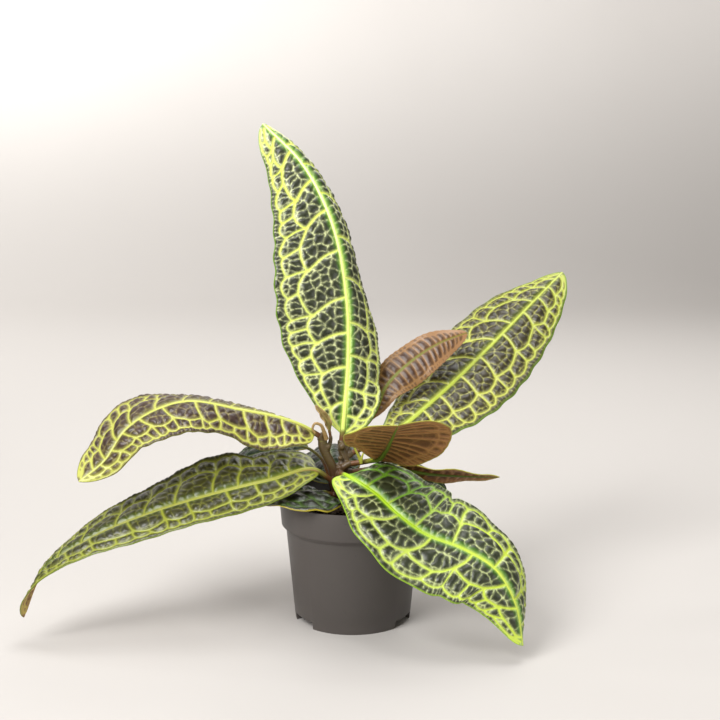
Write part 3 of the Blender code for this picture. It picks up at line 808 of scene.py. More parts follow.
@dataclass(frozen=True)
class LeafFinish:
    """The colours of one kind of leaf, upper face and underside."""

    cell: Colour
    cell_light: Colour
    vein: Colour
    vein_tip: Colour
    fine: Colour
    midrib: Colour
    midrib_tip: Colour
    halo: Colour
    edge: Colour
    under: Colour
    under_dark: Colour
    under_vein: Colour
    under_midrib: Colour
    shade: Colour = (0.1, 0.25, 0.02)
    shading: float = 0.0
    halo_reach: float = 7.0
    halo_strength: float = 0.8
    haze: float = 0.55
    fine_strength: float = 0.75
    edge_width: float = 1.0
    roughness: float = 0.36

    def upper(self, name: str) -> bpy.types.Material:
        """Make the upper face's material.

        Args:
            name: The material's name.

        Returns:
            The material: dark cells with a pale feathered fringe, between bright veins.
        """
        paint = Paint(name)
        flat = paint.vector("flat")
        vein = paint.read("vein_gap")
        middle = paint.read("midrib_gap")
        cell = paint.read("cell_gap")
        edge = paint.read("edge_gap")
        b = paint.read("b")
        nearest = vein.least(middle)
        cloud = paint.noise(flat, 0.16)
        grain = paint.noise(flat, 1.1, 4.0)
        streak = paint.noise(paint.stretch(paint.read("vein_run") * 0.75, 0.0, 0.0), 1.0, 2.0)
        # Painted shade: on the left half near the base the veins turn a darker green, and the pale fringe and fine
        # veins dim along with the noise patches.
        shade = paint.read("across").fall(-0.25, 0.02) * b.fall(0.2, 0.62) * self.shading
        patchy_and_shaded = (1.0 - paint.noise(flat, 0.3, 2.0).fall(0.4, 0.62) * 0.7) * (1.0 - shade * 0.7)
        colour = paint.blend((cloud - 0.35) * 2.2, self.cell, self.cell_light)
        fringe = (nearest - (streak - 0.45) * 3.2).fall(0.0, 2.6) ** 1.4 * self.haze
        colour = paint.blend(fringe * patchy_and_shaded, colour, self.fine)
        lace = cell - (grain - 0.5) * 0.3
        colour = paint.blend(lace.fall(0.0, 2.0) ** 1.5 * self.haze * 0.7 * patchy_and_shaded, colour, self.fine)
        colour = paint.blend(lace.fall(0.0, 0.65) * self.fine_strength * patchy_and_shaded, colour, self.fine)
        colour = paint.blend(middle.fall(0.0, self.halo_reach) ** 1.4 * self.halo_strength, colour, self.halo)
        bright = paint.blend(b.fall(0.35, 0.8), self.vein_tip, self.vein)
        bright = paint.blend(shade, bright, self.shade)
        colour = paint.blend(nearest.fall(0.0, 1.9) * 0.45, colour, bright)
        colour = paint.blend((vein - (grain - 0.5) * 0.5).fall(0.0, 0.55), colour, bright)
        colour = paint.blend((edge + (grain - 0.5)).fall(self.edge_width * 0.5, self.edge_width * 2.4) * 0.7,
                             colour, self.edge)
        colour = paint.blend(edge.fall(self.edge_width * 0.3, self.edge_width), colour, self.edge)
        rib = paint.blend(b.fall(0.3, 0.8), self.midrib_tip, self.midrib)
        colour = paint.blend(middle.fall(-0.5, 0.7), colour, rib)
        paint.bump(fringe * -0.5 + grain * 0.4, 0.25 * MM, 0.6)
        gloss = cloud * 0.16 + (self.roughness - 0.08)
        return paint.surface(Base_Color=colour, Roughness=gloss, Specular_IOR_Level=0.45)

    def lower(self, name: str) -> bpy.types.Material:
        """Make the underside's material.

        Args:
            name: The material's name.

        Returns:
            The material: a dull face with raised paler veins.
        """
        paint = Paint(name)
        flat = paint.vector("flat")
        vein = paint.read("vein_gap")
        cell = paint.read("cell_gap")
        edge = paint.read("edge_gap")
        cloud = paint.noise(flat, 0.12, 4.0)
        grain = paint.noise(flat, 0.8, 4.0)
        colour = paint.blend(vein.fall(0.2, 3.0) * 0.75 + (cloud - 0.5) * 1.2, self.under_dark, self.under)
        colour = paint.blend((cell + (grain - 0.5)).fall(0.0, 0.9) * 0.35, colour, self.under_vein)
        colour = paint.blend(vein.fall(-0.1, 0.6) * 0.75, colour, self.under_vein)
        colour = paint.blend(edge.fall(0.2, 1.4) * 0.7, colour, self.edge)
        paint.bump(grain * 0.4 + vein.fall(-0.3, 0.9), 0.3 * MM, 0.6)
        return paint.surface(Base_Color=colour, Roughness=0.5)

    def stalk(self, name: str) -> bpy.types.Material:
        """Make the stalk's material.

        Args:
            name: The material's name.

        Returns:
            The material: brown at the foot, then green, then the midrib's colours along the blade.
        """
        paint = Paint(name)
        along = paint.read("along")
        b = paint.read("b")
        cloud = paint.noise(paint.places(), 350.0)
        colour = paint.blend(along.fall(0.2, 0.95) + (cloud - 0.4) * 0.8, tone(120, 120, 45), tone(105, 66, 34))
        rib = paint.blend(b.fall(0.3, 0.8), self.midrib_tip, self.midrib)
        rib = paint.blend(paint.read("top").fall(0.75, 0.5), self.under_midrib, rib)
        colour = paint.blend(along.fall(0.8, 1.3), rib, colour)
        paint.bump(cloud, 0.2 * MM, 0.5)
        return paint.surface(Base_Color=colour, Roughness=0.42)


FINISHES = {
    Look.BRIGHT: LeafFinish(
        cell=tone(30, 34, 16), cell_light=tone(54, 60, 36), vein=tone(216, 228, 112), vein_tip=tone(206, 218, 88),
        fine=tone(214, 220, 160), midrib=tone(222, 238, 120), midrib_tip=tone(240, 244, 186), halo=tone(104, 164, 36),
        edge=tone(116, 156, 36), under=tone(130, 125, 60), under_dark=tone(85, 80, 38), under_vein=tone(170, 170, 80),
        under_midrib=tone(150, 170, 60), halo_reach=6.0, halo_strength=0.65, edge_width=0.6),
    Look.FRONT: LeafFinish(
        cell=tone(32, 38, 18), cell_light=tone(56, 62, 38), vein=tone(188, 208, 84), vein_tip=tone(190, 210, 66),
        fine=tone(202, 212, 148), midrib=tone(160, 198, 24), midrib_tip=tone(200, 214, 80), halo=tone(92, 152, 30),
        edge=tone(150, 190, 44), under=tone(130, 125, 60), under_dark=tone(85, 80, 38), under_vein=tone(170, 170, 80),
        under_midrib=tone(150, 170, 60), shade=tone(112, 160, 44), shading=1.0, halo_reach=6.0, halo_strength=0.6,
        edge_width=0.7),
    Look.BACK: LeafFinish(
        cell=tone(34, 28, 8), cell_light=tone(60, 52, 24), vein=tone(178, 182, 78), vein_tip=tone(168, 176, 70),
        fine=tone(156, 154, 78), midrib=tone(166, 182, 54), midrib_tip=tone(178, 190, 74), halo=tone(98, 118, 28),
        edge=tone(104, 134, 26), under=tone(126, 114, 56), under_dark=tone(82, 72, 34), under_vein=tone(160, 154, 76),
        under_midrib=tone(146, 154, 60), halo_strength=0.4, haze=0.5, edge_width=1.2),
    # Partly painted shade: the leaf's own olive tint, with veins and cells darkened as for a leaf lying in shadow.
    Look.OLIVE: LeafFinish(
        cell=tone(38, 38, 6), cell_light=tone(60, 60, 20), vein=tone(140, 146, 48), vein_tip=tone(142, 148, 54),
        fine=tone(116, 118, 48), midrib=tone(158, 160, 68), midrib_tip=tone(150, 150, 70), halo=tone(92, 112, 26),
        edge=tone(112, 126, 32), under=tone(150, 112, 76), under_dark=tone(112, 78, 50), under_vein=tone(184, 168, 80),
        under_midrib=tone(166, 136, 80), halo_strength=0.5, haze=0.4, fine_strength=0.6, edge_width=0.7),
    Look.PURPLE: LeafFinish(
        cell=tone(46, 30, 22), cell_light=tone(74, 54, 44), vein=tone(180, 182, 80), vein_tip=tone(178, 180, 82),
        fine=tone(146, 136, 78), midrib=tone(190, 196, 90), midrib_tip=tone(186, 190, 92), halo=tone(112, 112, 42),
        edge=tone(108, 108, 36), under=tone(124, 90, 56), under_dark=tone(84, 56, 38), under_vein=tone(152, 130, 74),
        under_midrib=tone(152, 140, 74), halo_strength=0.35, haze=0.4, fine_strength=0.6, edge_width=0.5),
    Look.SHADED: LeafFinish(
        cell=tone(14, 17, 7), cell_light=tone(26, 31, 14), vein=tone(58, 80, 30), vein_tip=tone(58, 80, 30),
        fine=tone(46, 56, 30), midrib=tone(106, 120, 44), midrib_tip=tone(96, 110, 44), halo=tone(32, 58, 16),
        edge=tone(174, 160, 40), under=tone(88, 80, 40), under_dark=tone(60, 52, 26), under_vein=tone(116, 112, 54),
        under_midrib=tone(116, 112, 54), haze=0.25, fine_strength=0.5, edge_width=0.6),
    Look.COPPER: LeafFinish(
        cell=tone(84, 54, 28), cell_light=tone(110, 74, 40), vein=tone(126, 132, 46), vein_tip=tone(134, 132, 50),
        fine=tone(140, 118, 62), midrib=tone(106, 132, 36), midrib_tip=tone(116, 132, 42), halo=tone(92, 100, 28),
        edge=tone(160, 156, 50), under=tone(152, 104, 58), under_dark=tone(92, 54, 24), under_vein=tone(166, 118, 68),
        under_midrib=tone(84, 104, 18), halo_strength=0.4, haze=0.3, edge_width=0.5),
    Look.ROSY: LeafFinish(
        cell=tone(56, 30, 12), cell_light=tone(78, 46, 20), vein=tone(130, 96, 52), vein_tip=tone(146, 108, 70),
        fine=tone(116, 84, 46), midrib=tone(108, 112, 24), midrib_tip=tone(114, 108, 32), halo=tone(92, 68, 26),
        edge=tone(146, 108, 66), under=tone(116, 80, 42), under_dark=tone(78, 48, 24), under_vein=tone(136, 100, 58),
        under_midrib=tone(106, 108, 30), halo_strength=0.3, haze=0.3, fine_strength=0.2, edge_width=0.4),
    Look.BRONZE: LeafFinish(
        cell=tone(96, 78, 40), cell_light=tone(120, 98, 54), vein=tone(130, 112, 60), vein_tip=tone(140, 120, 70),
        fine=tone(130, 110, 66), midrib=tone(130, 120, 60), midrib_tip=tone(140, 120, 70), halo=tone(114, 94, 46),
        edge=tone(168, 140, 94), under=tone(116, 86, 52), under_dark=tone(86, 62, 36), under_vein=tone(140, 114, 74),
        under_midrib=tone(120, 102, 50), halo_strength=0.2, haze=0.2, edge_width=0.4),
}


class Workbench:
    """The modelling steps that the pieces share."""

    @staticmethod
    def clear() -> None:
        """Deselect everything."""
        bpy.ops.object.select_all(action="DESELECT")

    @staticmethod
    def pick(*pieces: bpy.types.Object) -> None:
        """Select some objects, the first of them active."""
        Workbench.clear()
        for piece in pieces:
            piece.select_set(True)
        bpy.context.view_layer.objects.active = pieces[0]

    @staticmethod
    def apply(piece: bpy.types.Object, kind: str, **settings: Any) -> None:
        """Add a modifier and apply it.

        Args:
            piece: The piece.
            kind: The modifier's type.
            settings: Its settings.
        """
        modifier = piece.modifiers.new(kind.lower(), kind)
        for name, value in settings.items():
            setattr(modifier, name, value)
        Workbench.pick(piece)
        bpy.ops.object.modifier_apply(modifier=modifier.name)

    @staticmethod
    def points(piece: bpy.types.Object) -> Floats:
        """The piece's vertices, in metres."""
        places = np.empty(len(piece.data.vertices) * 3)
        piece.data.vertices.foreach_get("co", places)
        return places.reshape(-1, 3)

    @staticmethod
    def move(piece: bpy.types.Object, places: Floats) -> None:
        """Move the piece's vertices to the places, in metres."""
        piece.data.vertices.foreach_set("co", places.ravel())
        piece.data.update()

    @staticmethod
    def note(piece: bpy.types.Object, name: str, values: Floats) -> None:
        """Keep a number or a vector on each point.

        Args:
            piece: The piece.
            name: The attribute's name.
            values: One number or three for each vertex.
        """
        vector = values.ndim == 2
        kept = piece.data.attributes.new(name, "FLOAT_VECTOR" if vector else "FLOAT", "POINT")
        kept.data.foreach_set("vector" if vector else "value", np.ascontiguousarray(values, np.float32).ravel())

    @staticmethod
    def tube(name: str, path: Floats, radii: Floats, sides: int = 16) -> tuple[bpy.types.Object, Floats]:
        """Make a closed tube along a path.

        Args:
            name: The piece's name.
            path: Its points, in mm.
            radii: Its radius at each point, in mm.
            sides: How many sides it has, a multiple of 4.

        Returns:
            The tube, and which point of the path each of its vertices belongs to.
        """
        curve = bpy.data.curves.new(name, "CURVE")
        curve.dimensions = "3D"
        curve.bevel_depth = MM
        curve.bevel_resolution = sides // 4
        curve.use_fill_caps = True
        spline = curve.splines.new("POLY")
        spline.points.add(len(path) - 1)
        spline.points.foreach_set("co", np.column_stack([path * MM, np.ones(len(path))]).ravel())
        spline.points.foreach_set("radius", radii)
        piece = bpy.data.objects.new(name, curve)
        bpy.context.scene.collection.objects.link(piece)
        Workbench.pick(piece)
        bpy.ops.object.convert(target="MESH")
        piece = bpy.context.view_layer.objects.active
        places = Workbench.points(piece) / MM
        piece.data.shade_smooth()
        return piece, ((places[:, None] - path) ** 2).sum(2).argmin(1)

    @staticmethod
    def join(name: str, pieces: list[bpy.types.Object]) -> bpy.types.Object:
        """Join some pieces into the first of them and name it."""
        Workbench.pick(*pieces)
        bpy.ops.object.join()
        whole = bpy.context.view_layer.objects.active
        whole.name = whole.data.name = name
        return whole

    @staticmethod
    def ball(place: Point, radius: float, stretch: Point = (1, 1, 1), fine: int = 3) -> bpy.types.Object:
        """Make a ball.

        Args:
            place: Its middle, in mm.
            radius: Its radius, in mm.
            stretch: How far it is drawn out along each axis.
            fine: How finely it is divided.

        Returns:
            The ball, with its vertices in place.
        """
        Workbench.clear()
        bpy.ops.mesh.primitive_ico_sphere_add(subdivisions=fine, radius=radius * MM)
        piece = bpy.context.object
        Workbench.move(piece, Workbench.points(piece) * np.array(stretch) + np.array(place) * MM)
        return piece

    @staticmethod
    def lathe(name: str, profile: tuple[tuple[float, float], ...], sides: int) -> bpy.types.Object:
        """Turn a closed body: a circle, extruded ring by ring and closed at both ends.

        Args:
            name: The piece's name.
            profile: Radius and height of each ring, in mm.
            sides: How many sides it has.

        Returns:
            The body.
        """
        Workbench.clear()
        radius, height = profile[0]
        bpy.ops.mesh.primitive_circle_add(
            vertices=sides, radius=radius * MM, fill_type="NGON", location=(0, 0, height * MM))
        piece = bpy.context.object
        piece.name = piece.data.name = name
        Workbench.pick(piece)
        bpy.ops.object.transform_apply(location=True)
        bpy.ops.object.mode_set(mode="EDIT")
        bpy.ops.mesh.select_all(action="SELECT")
        for next_radius, next_height in profile[1:]:
            bpy.ops.mesh.extrude_region_move(
                TRANSFORM_OT_translate={"value": (0, 0, (next_height - height) * MM)})
            size = next_radius / radius
            bpy.ops.transform.resize(value=(size, size, 1), center_override=(0, 0, next_height * MM))
            radius, height = next_radius, next_height
        bpy.ops.mesh.select_all(action="SELECT")
        bpy.ops.mesh.normals_make_consistent(inside=False)
        bpy.ops.object.mode_set(mode="OBJECT")
        return piece

    @staticmethod
    def deliver(piece: bpy.types.Object, slot: str, *nodes: str) -> None:
        """Hand a finished piece over to the frame.

        Args:
            piece: The piece.
            slot: The record's material slot; not used.
            nodes: The CAD nodes that it stands for.
        """
        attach(piece, ROOT)
        if nodes:
            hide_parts(*nodes)
        triangles = sum(len(polygon.vertices) - 2 for polygon in piece.data.polygons)
        log.info("%s: %d triangles", piece.name, triangles)


@dataclass
class LeafPiece:
    """One leaf: a blistered blade with its net, and the stalk that runs on below it as the midrib."""

    shape: LeafShape
    pitch: float = 0.85
    thickness: float = 0.7
    boldness: float = 1.3
    relief_reach: float = 3.0
    cell_relief: float = 0.5
    cell_reach: float = 2.0
    rib_show: float = 0.35
    rib_taper: float = 0.8
    sunk: float = 3.0

    def blade(self) -> bpy.types.Object:
        """Shape the blade from a flat grid.

        Returns:
            The blade, two materials thick.
        """
        shape = self.shape
        midrib = Midrib(shape)
        wide = shape.left.width + shape.right.width
        Workbench.clear()
        bpy.ops.mesh.primitive_grid_add(
            x_subdivisions=2 * max(4, round(wide / self.pitch / 2)),
            y_subdivisions=max(12, round(midrib.blade_length / self.pitch)), size=1)
        piece = bpy.context.object
        piece.name = piece.data.name = shape.name + "_blade"
        square = Workbench.points(piece)
        across = np.clip(square[:, 0] * 2, -1, 1)
        b = np.clip(square[:, 1] + 0.5, 0, 1)
        net = VeinNet(midrib)
        flat = net.flat(b, across)
        rib = shape.stalk_radius * (1 - self.rib_taper * b)
        vein_gap, vein_run = net.vein_gap(flat)
        middle = np.abs(flat[:, 1]) - rib * 0.8
        gaps = {
            "vein_gap": vein_gap,
            "vein_run": np.where(middle < vein_gap, flat[:, 0], vein_run),
            "cell_gap": net.cell_gap(flat),
            "midrib_gap": middle,
            "edge_gap": (1 - np.abs(across)) * midrib.width(b, across),
            "across": across,
            "b": b,
        }
        place, normal = midrib.sheet(b, across)
        height = self.height(b, across, gaps)
        Workbench.move(piece, (place + normal * height[:, None]) * MM)
        for name, values in gaps.items():
            Workbench.note(piece, name, values)
        Workbench.note(piece, "flat", np.column_stack([flat, np.full(len(flat), float(shape.seed))]))
        finish = FINISHES[shape.look]
        piece.data.materials.append(finish.upper(shape.name + "_upper"))
        piece.data.materials.append(finish.lower(shape.name + "_under"))
        Workbench.apply(piece, "SOLIDIFY", thickness=self.thickness * MM, offset=-1, material_offset=1)
        piece.data.shade_smooth()
        return piece

    def height(self, b: Floats, across: Floats, gaps: dict[str, Floats]) -> Floats:
        """Height of the upper face over the smooth sheet, in mm.

        Args:
            b: Shares of the blade from base to tip.
            across: From -1 at the left margin to 1 at the right one.
            gaps: Distances to the veins, the cells' edges, the midrib and the margin.

        Returns:
            The heights.
        """
        shape = self.shape
        fade = np.clip(np.minimum(b, 1 - b) * 10, 0, 1)
        vein = np.maximum(np.minimum(gaps["vein_gap"], gaps["midrib_gap"]), 0)
        cell = np.minimum(vein, np.maximum(gaps["cell_gap"] - 0.1, 0))
        puff = 1 - np.exp(-vein / self.relief_reach)
        pillow = self.cell_relief * (1 - np.exp(-cell / self.cell_reach))
        rim = np.clip(gaps["edge_gap"] / 2.5, 0, 1)
        turn = 2 * np.pi * shape.ripples * b + np.where(across > 0, 2, 0)
        wave = shape.ripple * across ** 2 * np.sin(turn)
        return fade * (self.boldness * shape.blister * rim * (puff + pillow) + wave)

    def stalk(self) -> bpy.types.Object:
        """Make the stalk and the midrib as one tapered tube.

        Returns:
            The tube.
        """
        shape = self.shape
        midrib = Midrib(shape)
        share = np.linspace(0, 0.985, 90)
        b = np.clip((share - midrib.start) / (1 - midrib.start), 0, 1)
        radii = shape.stalk_radius * (1 - self.rib_taper * b)
        tangent, _, up = midrib.axes(share)
        under = np.clip(b * 8, 0, 1) * (radii - self.rib_show * (1 - b))
        path = midrib.point(share) - up * under[:, None]
        path[0] -= tangent[0] * self.sunk
        piece, ring = Workbench.tube(shape.name + "_stalk", path, radii)
        height = ((Workbench.points(piece) / MM - path[ring]) * up[ring]).sum(1) / radii[ring]
        Workbench.note(piece, "along", share[ring] * midrib.length / max(shape.stalk, 8))
        Workbench.note(piece, "b", b[ring])
        Workbench.note(piece, "top", height)
        piece.data.materials.append(FINISHES[shape.look].stalk(shape.name + "_stalk"))
        return piece

    def build(self) -> None:
        """Join the blade and the stalk and hand the leaf over."""
        leaf = Workbench.join(self.shape.name + "_fine", [self.blade(), self.stalk()])
        slots = {Look.PURPLE: "leaf_purple", Look.COPPER: "leaf_young", Look.ROSY: "leaf_young",
                 Look.BRONZE: "leaf_young"}
        Workbench.deliver(leaf, slots.get(self.shape.look, "leaf"), self.shape.name)


@dataclass(frozen=True)
class FleshFinish:
    """Fleshy stem tissue: one tint low down, another higher up, with ridges and scars."""

    low: Colour
    high: Colour
    scar: Colour
    start: float
    end: float
    roughness: float = 0.45

    def material(self, name: str) -> bpy.types.Material:
        """Make the material.

        Args:
            name: The material's name.

        Returns:
            The material.
        """
        paint = Paint(name)
        at = paint.places()
        x, z = paint.axis(at, 0), paint.axis(at, 2)
        cloud = paint.noise(at, 180.0, 4.0)
        rings = paint.noise(paint.stretch(x * 60.0, 0.0, z * 900.0), 1.0, 3.0)
        height = z + (cloud - 0.5) * 0.03
        colour = paint.blend(height.fall(self.start * MM, self.end * MM), self.high, self.low)
        colour = paint.blend(rings.fall(0.42, 0.3) * 0.7, colour, self.scar)
        colour = paint.blend(cloud.fall(0.45, 0.3) * 0.5, colour, self.scar)
        paint.bump(rings * 0.6 + cloud * 0.6, 0.5 * MM, 0.7)
        return paint.surface(Base_Color=colour, Roughness=self.roughness, Specular_IOR_Level=0.6)


@dataclass
class Crown:
    """The short fleshy stem, with a branch or a stub to the foot of each leaf, grown into one body."""

    stem: tuple[Point, ...] = ((-14, 0, 68), (-13.5, 0, 100), (-12, 0, 128))
    stem_radii: tuple[float, float] = (4.8, 3.7)
    branches: tuple[tuple[tuple[Point, ...], tuple[float, float], str], ...] = (
        (((-12.5, 0, 110), (-17, -3, 127), (-24, -5, 144)), (4.2, 3.8), "leaf_left_upper"),
        (((-12.5, 0, 114), (-6, 2, 130), (-9, 4, 140)), (3.9, 3.3), "leaf_upright"),
        (((-13, 0, 102), (-15, -5, 110)), (3.2, 2.7), "leaf_left_lower"),
        (((-13, 0, 112), (-11, -4, 119)), (3.4, 3.0), "leaf_front"),
        (((-12, 0, 122), (-5, 4, 133)), (3.4, 2.9), "leaf_right_back"),
        (((-9, 3, 128), (-6, 6, 138)), (3.2, 2.8), "leaf_young_upper"),
        (((-11, 0, 120), (-6, -2, 127)), (3.4, 2.8), "leaf_young_front"),
        (((-12, 0, 112), (-5, 2, 120)), (3.2, 2.8), "leaf_young_right"),
        (((-13, 0, 106), (-8, 4, 112)), (3.2, 2.8), "leaf_back_right"),
        (((-13, 0, 102), (-17, 2, 108)), (2.4, 1.6), "leaf_back_left"),
        (((-13, 0, 98), (-15, -4, 102)), (3.2, 2.8), "leaf_under_left"),
        (((-13, 0, 98), (-14, 3, 102)), (3.2, 2.8), "leaf_back"),
        (((-21, -4, 138), (-18, -2, 148)), (2.2, 1.6), "bud_leaf"),
    )
    knobs: tuple[tuple[Point, float], ...] = (
        ((-8.5, -1.0, 143), 3.2), ((-10.5, -4.0, 126), 2.2), ((-15.5, -4.0, 121), 2.4), ((-10, -3.5, 134), 2.0),
        ((-20, -5.5, 143.5), 2.6), ((-14, -3.6, 106), 3.0), ((-10.5, 3.5, 117), 2.6),
    )
    voxel: float = 0.55
    finish: FleshFinish = FleshFinish(
        low=tone(88, 50, 30), high=tone(112, 112, 40), scar=tone(74, 48, 26), start=112.0, end=140.0)

    def limb(self, name: str, points: Any, radii: tuple[float, float]) -> bpy.types.Object:
        """Make one smooth tapered limb through some points."""
        knots = np.array(points, float)
        chord = np.concatenate([[0], np.cumsum(np.linalg.norm(np.diff(knots, axis=0), axis=1))])
        places = np.linspace(0, chord[-1], 40)
        return Workbench.tube(name, smooth_curve(chord, knots, places), np.linspace(*radii, 40))[0]

    def build(self) -> None:
        """Join the limbs and knobs, melt them into one body and hand it over."""
        shapes = {shape.name: shape for shape in LEAVES}
        parts = [self.limb("stem", self.stem, self.stem_radii)]
        for points, radii, name in self.branches:
            midrib = Midrib(shapes[name])
            start = np.array([0.0])
            foot, ahead = midrib.point(start)[0], midrib.axes(start)[0][0]
            parts.append(self.limb(name + "_limb", (*points, foot - ahead * 1.8, foot), radii))
        parts += [Workbench.ball(place, radius) for place, radius in self.knobs]
        crown = Workbench.join("crown_fine", parts)
        Workbench.apply(crown, "REMESH", mode="VOXEL", voxel_size=self.voxel * MM)
        Workbench.apply(crown, "SMOOTH", factor=0.6, iterations=7)
        crown.data.materials.clear()
        crown.data.materials.append(self.finish.material("crown_flesh"))
        crown.data.shade_smooth()
        Workbench.deliver(crown, "crown", "crown")


@dataclass
class Shoots:
    """The curled shoot beside the bud, and the forked thin shoot before a young leaf."""

    curl: tuple[Point, ...] = (
        (-21, -9, 151), (-23, -11, 158), (-26, -13, 164), (-30, -14, 165), (-32, -14, 161), (-30, -14, 157))
    curl_radii: tuple[float, float] = (1.9, 0.7)
    fork: tuple[tuple[Point, ...], ...] = (
        ((7, -6.6, 130.5), (5, -7.4, 136), (2, -8.6, 143), (-1, -9.6, 150)),
        ((7, -6.6, 130.5), (7.4, -7.2, 135), (8.7, -7.4, 139)))
    fork_radii: tuple[float, float] = (1.3, 0.6)
    curl_finish: FleshFinish = FleshFinish(
        low=tone(120, 92, 40), high=tone(196, 170, 112), scar=tone(150, 118, 70), start=150.0, end=160.0)
    fork_finish: FleshFinish = FleshFinish(
        low=tone(206, 170, 60), high=tone(206, 212, 74), scar=tone(160, 160, 50), start=130.0, end=136.0)

    def build(self) -> None:
        """Make both shoots and hand them over."""
        curl = Crown().limb("curled_shoot_fine", self.curl, self.curl_radii)
        curl.data.materials.append(self.curl_finish.material("curled_shoot_flesh"))
        Workbench.deliver(curl, "shoot", "curled_shoot")
        tines = [Crown().limb("tine", points, self.fork_radii) for points in self.fork]
        thin = Workbench.join("thin_shoot_fine", tines)
        thin.data.materials.append(self.fork_finish.material("thin_shoot_flesh"))
        Workbench.deliver(thin, "shoot", "thin_shoot")


@dataclass
class Pot:
    """The thin plastic pot: a foot with three drain notches, a tapered wall, a step and a wide top band."""

    foot: tuple[tuple[float, float], ...] = ((36, 0), (38, 4), (43.5, 4), (44.5, 0), (47.5, 0))
    wall: tuple[tuple[float, float], ...] = ((54.6, 76), (58.3, 80), (60, 102))
    inside: tuple[tuple[float, float], ...] = (
        (58.6, 102), (56.9, 80), (53.2, 76), (46.4, 5.6), (36, 5.6), (34, 1.6), (5, 1.6))
    sides: int = 128
    bevel: float = 0.55
    notches: int = 3
    notch_start: float = -28.0
    notch_size: Point = (12.0, 26.0, 12.0)

    def body(self) -> bpy.types.Object:
        """Turn the pot and cut its notches."""
        pot = Workbench.lathe("pot_fine", self.foot + self.wall + self.inside, self.sides)
        for k in range(self.notches):
            turn = math.radians(self.notch_start + k * 360 / self.notches)
            Workbench.clear()
            bpy.ops.mesh.primitive_cube_add(size=1)
            box = bpy.context.object
            radius = self.foot[-1][0] * MM
            box.scale = [size * MM for size in self.notch_size]
            box.rotation_euler = (0, 0, turn)
            box.location = (radius * math.cos(turn), radius * math.sin(turn), 0)
            Workbench.pick(box)
            bpy.ops.object.transform_apply(location=True, rotation=True, scale=True)
            Workbench.apply(pot, "BOOLEAN", operation="DIFFERENCE", object=box, solver="EXACT")
            bpy.data.objects.remove(box)
        Workbench.apply(pot, "BEVEL", width=self.bevel * MM, segments=3, limit_method="ANGLE",
                        angle_limit=math.radians(22))
        Workbench.pick(pot)
        bpy.ops.object.shade_smooth_by_angle(angle=math.radians(32))
        return pot

    def material(self) -> bpy.types.Material:
        """Satin dark warm grey plastic, faintly dusty and scuffed."""
        paint = Paint("pot_plastic")
        at = paint.places()
        z = paint.axis(at, 2)
        cloud = paint.noise(at, 28.0, 4.0)
        grain = paint.noise(at, 900.0, 2.0)
        dust = paint.noise(at, 260.0, 5.0, 0.7)
        colour = paint.blend((cloud - 0.35) * 2.0, tone(62, 57, 55), tone(70, 65, 63))
        colour = paint.blend(dust.fall(0.38, 0.25) * 0.35, colour, tone(104, 98, 92))
        # Darker towards the foot, in patches.
        colour = paint.blend(z.fall(0.012, 0.0) * 0.4 * cloud, colour, tone(50, 46, 44))
        paint.bump(grain * 0.7 + cloud * 0.3, 0.06 * MM, 0.5)
        return paint.surface(Base_Color=colour, Roughness=cloud * 0.12 + 0.38, Specular_IOR_Level=0.5)

    def build(self) -> None:
        """Make the pot and hand it over."""
        pot = self.body()
        pot.data.materials.append(self.material())
        Workbench.deliver(pot, "pot", "pot")


